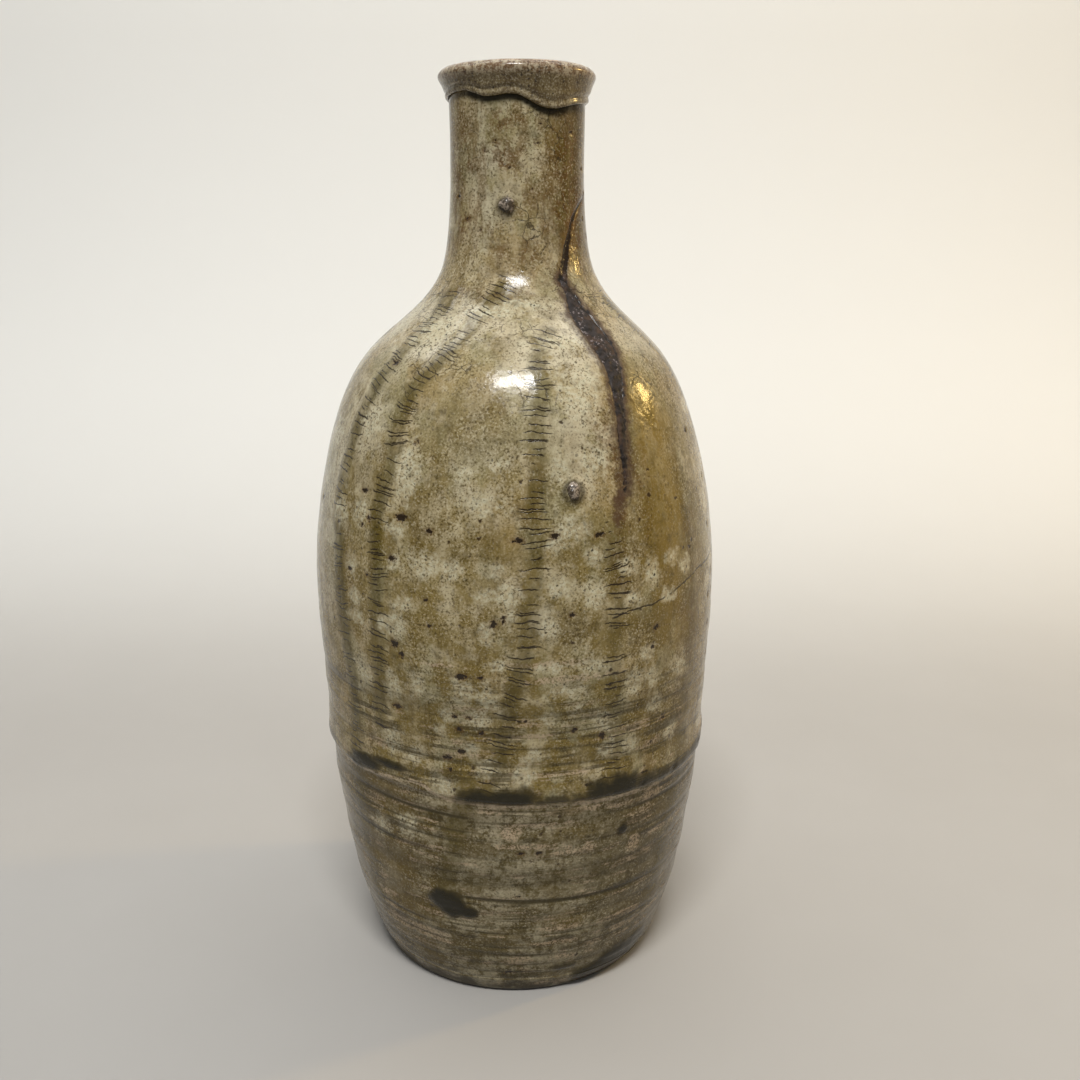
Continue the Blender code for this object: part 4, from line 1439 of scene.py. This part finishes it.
    ragged = m.swing(m.noise(2.4, 4.0, 0.7), 7.0)
    scar = m.add(m.field("scar"), ragged)
    m.lay(HALO, m.ramp(scar, -3.2, -0.1), 0.88)
    tail = m.add(m.field("scar_tail"), ragged)
    m.lay(SCAR_STAIN, m.ramp(tail, -0.8, 1.4), 0.75)
    inside = m.most(m.ramp(scar, 0.0, 0.7), m.ramp(m.field("scar"), 0.0, 0.5))
    m.lay(SLATE, inside)

    # The foot is thinly glazed and burnt dark, and is darkened further all round as painted shade
    # near the floor.
    foot = m.ramp(m.add(m.z, m.swing(mid, 22.0)), 7.0, 0.5)
    m.lay(FOOT_SHADE_AND_BURN, foot, 0.8)
    clay = m.mix(m.ramp(small, 0.40, 0.60), CLAY_DARK, CLAY_PALE)
    m.lay(clay, m.field("bare"))

    wet = m.most(m.field("run"), pool, m.field("lip_shadow_and_pool"))
    dull = m.most(m.field("bare"), m.mul(foot, 0.7))
    dull = m.most(dull, m.mul(m.most(bare_line, scraped), 0.5))
    dull = m.most(dull, m.ramp(scar, -1.5, 0.0))
    roughness = m.add(0.215, m.swing(m.noise(3.5, 4.0, 0.6), 0.36))
    roughness = m.sub(roughness, m.mul(wet, 0.08))
    roughness = m.most(m.add(roughness, m.mul(dull, 0.45)), 0.09)

    bumps = m.add(m.mul(m.noise(1.3, 3.0, 0.5), 0.6), m.mul(m.noise(4.5, 2.0), 1.3))
    bumps = m.add(bumps, m.mul(lines, m.ramp(m.z, 125.0, 85.0), 1.4))
    bumps = m.sub(bumps, m.mul(m.most(ladder, fine_specks, craze), 0.5))
    bumps = m.sub(bumps, m.mul(m.most(neck_line, body_line), 1.6))
    bumps = m.sub(bumps, m.mul(m.most(bold_specks, pit), 0.9))
    bumps = m.add(bumps, m.mul(m.field("crinkle"), m.noise(1.6, 2.0, 0.5), 4.5))
    normal = m.bump(bumps, 0.085)
    m.saturate(1.08)
    return m.finish(roughness, normal, coat=0.14, coat_roughness=0.08)


def lip_glaze():
    """The lip: rusty and speckled on top, olive brown in the fold, a painted highlight along the
    rolled edge and painted shade in the undercut.
    """
    m = Nodes("lip_glaze")
    up, out = m.field("above_edge"), m.field("lip_out")
    mid = m.noise(6.0, 4.0, 0.6)
    small = m.noise(1.7, 4.0, 0.65)
    grain = m.noise(0.5, 3.0, 0.6)
    m.colour = m.mix(m.ramp(mid, 0.4, 0.62), LIP_BROWN, LIP_OLIVE)
    streak = m.noise(3.0, 3.0, stretch=(1.0, 1.0, 0.3))
    m.lay(LIP_STREAK, m.ramp(streak, 0.52, 0.66), 0.7)
    height = m.add(m.z, m.swing(m.noise(5.0, 3.0), 2.2))
    top = m.ramp(height, 265.4, 267.4)
    rusty = m.mix(m.ramp(small, 0.43, 0.57), LIP_RUST, LIP_BUFF)
    m.lay(rusty, top, 0.9)
    # Painted highlight along the top of the rolled edge.
    edge = m.add(up, m.swing(m.noise(4.0, 3.0), 1.3))
    pale = m.mul(m.band(edge, 0.2, 2.0, 0.55), m.ramp(out, 0.9, 1.3))
    m.lay(LIP_EDGE_HIGHLIGHT, pale, m.ramp(small, 0.42, 0.56), 0.45)
    crown = m.ramp(m.z, 269.0, 269.7)
    m.lay(CROWN_TAN, crown, m.ramp(mid, 0.42, 0.56))
    m.lay(LIP_DARK_GRAIN, m.ramp(grain, 0.53, 0.62), 0.7)
    m.lay(LIP_PALE_GRAIN, m.ramp(grain, 0.46, 0.37), 0.55)
    fine_specks = specks(m, 0.95, 0.42, 0.26)
    m.lay(BROWN_BLACK, fine_specks, 0.8)
    # Painted shade and dark pooled glaze in the undercut beneath the fold.
    under = m.ramp(out, 0.75, 0.2)
    m.lay(POOL, under, 0.95)
    inner = m.field("inner")
    m.lay(LIP_INSIDE, inner, 0.5)
    roughness = m.add(0.27, m.swing(m.noise(2.5, 4.0), 0.25))
    bumps = m.add(m.mul(m.noise(1.1, 3.0), 0.9), m.mul(m.noise(3.6, 2.0), 1.2))
    normal = m.bump(m.sub(bumps, m.mul(fine_specks, 0.6)), 0.1)
    return m.finish(roughness, normal, coat=0.3, coat_roughness=0.1)


def slag_crust():
    """Slate-black blistered crust with lavender-grey specks."""
    m = Nodes("crack_slag")
    blister = m.noise(1.9, 4.0, 0.65)
    m.colour = m.mix(m.ramp(blister, 0.42, 0.58), SLATE, SLATE_BROWN)
    m.lay(SLAG_RUST, m.ramp(m.noise(4.5, 3.0), 0.5, 0.60), 0.7)
    flecks = m.ramp(m.noise(0.9, 3.0, 0.7), 0.55, 0.63)
    flecks = m.mul(flecks, m.ramp(m.noise(5.0, 3.0), 0.46, 0.56),
                   m.ramp(m.z, 182.0, 196.0, 0.25, 1.0))
    m.lay(LAVENDER, flecks, 0.9)
    roughness = m.add(0.58, m.swing(blister, 0.6))
    bumps = m.add(m.mul(m.noise(0.7, 4.0, 0.65), 1.0), m.mul(blister, 1.6))
    return m.finish(roughness, m.bump(bumps, 0.14), coat=0.04, coat_roughness=0.2,
                    specular=0.2)


def grit_stone():
    """Fired stone, pale on its worn faces and glassy brown in its hollows."""
    m = Nodes("kiln_grit")
    mid = m.noise(1.8, 4.0, 0.6)
    small = m.noise(0.6, 3.0, 0.6)
    m.colour = m.mix(m.ramp(mid, 0.46, 0.56), STONE_BROWN, STONE_PALE)
    m.lay(STONE_DARK, m.ramp(small, 0.5, 0.58), 0.85)
    roughness = m.add(0.34, m.swing(small, 0.4))
    return m.finish(roughness, m.bump(m.add(small, mid), 0.12), coat=0.25, coat_roughness=0.12)


# ---------------------------------------------------------------- put together

def add_piece(name, mesh, node, material):
    piece = bpy.data.objects.new(name, mesh)
    bpy.context.scene.collection.objects.link(piece)
    mesh.materials.append(material)
    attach(piece, "root")
    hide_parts(node)


PIECES = (
    ("base_slab", make_base, "base_disc", "base_clay", lambda: glaze("base_clay")),
    ("lower_wall", make_lower, "lower_body", "lower_glaze", lambda: glaze("lower_glaze")),
    ("upper_wall", make_upper, "upper_body", "upper_glaze", lambda: glaze("upper_glaze")),
    ("neck_wall", make_neck, "neck", "neck_glaze", lambda: glaze("neck_glaze")),
    ("rolled_lip", make_lip, "folded_lip", "lip_glaze", lip_glaze),
    ("crack_crust", make_slag, "crack_slag", "crack_slag", slag_crust),
    ("neck_stone", lambda: make_grit("neck_stone", NECK_GRIT[0], 232.2, (2.2, 2.3, 1.9), 5, 0.15),
     "neck_grit", "kiln_grit", grit_stone),
    ("belly_stone", lambda: make_grit("belly_stone", *BELLY_GRIT, (2.0, 2.6, 2.0), 8, -0.1),
     "belly_grit", "kiln_grit", grit_stone),
)
materials = {}
for name, make, node, slot_name, make_material in PIECES:
    if slot_name not in materials:
        materials[slot_name] = make_material()
    add_piece(name, make(), node, materials[slot_name])


# ---------------------------------------------------------------- studio

def backdrop_paint():
    """Pale grey on the table, rising to near white on the wall."""
    m = Nodes("backdrop")
    m.colour = m.mix(m.ramp(m.y, 120.0, 620.0), TABLE_GREY, WALL_WHITE)
    m.lay(PAPER_WHITE, m.noise(60.0, 2.0), 0.05)
    return m.finish(0.85, specular=0.1)


def make_backdrop():
    """A pale table that sweeps up into a pale wall."""
    section = [(-900.0, 0.0), (300.0, 0.0)]
    for step in range(1, 13):
        turn = math.radians(90.0 * step / 12)
        section.append((300.0 + 400.0 * math.sin(turn), 400.0 * (1.0 - math.cos(turn))))
    section.append((700.0, 1600.0))
    corners = [(x, y, z) for y, z in section for x in (-1500.0, 1500.0)]
    faces = [[2 * i, 2 * i + 1, 2 * i + 3, 2 * i + 2] for i in range(len(section) - 1)]
    mesh = make_mesh("backdrop", np.array(corners), [np.array(faces)])
    backdrop = bpy.data.objects.new("backdrop", mesh)
    mesh.materials.append(backdrop_paint())
    bpy.context.scene.collection.objects.link(backdrop)


CAMERA_PLACE = (0.0, -0.3395, 0.2209)
CAMERA_PITCH = 14.75
CAMERA_YAW = 1.32
FOCAL_LENGTH = 37.0
SENSOR_WIDTH = 36.0
WORLD_LOW = 0.07
WORLD_HIGH = 0.40
WORLD_COLOUR = (0.97, 0.98, 1.0, 1.0)
BOTTLE_MIDDLE = (0, 0, 0.17)
# Name, azimuth, elevation, distance in m, size in m, power and colour.
LAMPS = (
    ("key", -3.0, 58.0, 1.2, (0.41, 0.18), 12.6, (1.0, 0.99, 0.975)),
    ("wall_wash", 0.0, 0.0, 0.0, (1.6, 0.3), 5.2, (0.97, 0.98, 1.0)),
    ("warm_lamp", 103.0, 24.0, 0.95, (0.07, 0.10), 2.2, (1.0, 0.68, 0.24)),
    ("warm_strip", 99.0, 2.0, 0.8, (0.2, 0.4), 0.25, (1.0, 0.76, 0.42)),
)


def aim(thing, target):
    direction = Vector(target) - thing.location
    thing.rotation_euler = direction.to_track_quat("-Z", "Y").to_euler()


def area_light(name, azimuth, elevation, distance, size, power, colour, target=BOTTLE_MIDDLE):
    """A rectangular lamp, placed by where it stands as seen from the bottle."""
    data = bpy.data.lights.new(name, "AREA")
    data.shape = "RECTANGLE"
    data.size, data.size_y = size
    data.energy = power
    data.color = colour
    lamp = bpy.data.objects.new(name, data)
    turn, rise = math.radians(azimuth), math.radians(elevation)
    flat = distance * math.cos(rise)
    lamp.location = (
        target[0] + flat * math.sin(turn),
        target[1] - flat * math.cos(turn),
        target[2] + distance * math.sin(rise),
    )
    aim(lamp, target)
    bpy.context.scene.collection.objects.link(lamp)
    return lamp


def make_camera():
    data = bpy.data.cameras.new("camera")
    data.lens = FOCAL_LENGTH
    data.sensor_width = SENSOR_WIDTH
    data.clip_start = 0.01
    camera = bpy.data.objects.new("camera", data)
    camera.location = CAMERA_PLACE
    camera.rotation_euler = (
        math.radians(90.0 - CAMERA_PITCH), 0.0, math.radians(-CAMERA_YAW)
    )
    bpy.context.scene.collection.objects.link(camera)
    bpy.context.scene.camera = camera


def make_world():
    """Soft light from above, and a darker room in front of the bottle."""
    world = bpy.data.worlds.new("studio")
    world.use_nodes = True
    nodes, links = world.node_tree.nodes, world.node_tree.links
    background = nodes["Background"]
    direction = nodes.new("ShaderNodeTexCoord").outputs["Generated"]
    parts = nodes.new("ShaderNodeSeparateXYZ")
    links.new(direction, parts.inputs[0])
    rise = nodes.new("ShaderNodeMapRange")
    rise.interpolation_type = "SMOOTHSTEP"
    for socket, value in zip(rise.inputs[1:5], (-0.1, 0.9, WORLD_LOW, WORLD_HIGH)):
        socket.default_value = value
    links.new(parts.outputs["Z"], rise.inputs["Value"])
    background.inputs["Color"].default_value = WORLD_COLOUR
    links.new(rise.outputs[0], background.inputs["Strength"])
    bpy.context.scene.world = world


make_backdrop()
make_camera()
make_world()
lamps = {lamp[0]: area_light(*lamp) for lamp in LAMPS}
# This one hangs over the bottle and lights the wall behind it.
lamps["wall_wash"].location = (0.0, 0.2, 1.1)
aim(lamps["wall_wash"], (0.0, 0.72, 0.35))
bpy.context.scene.view_settings.view_transform = "Standard"
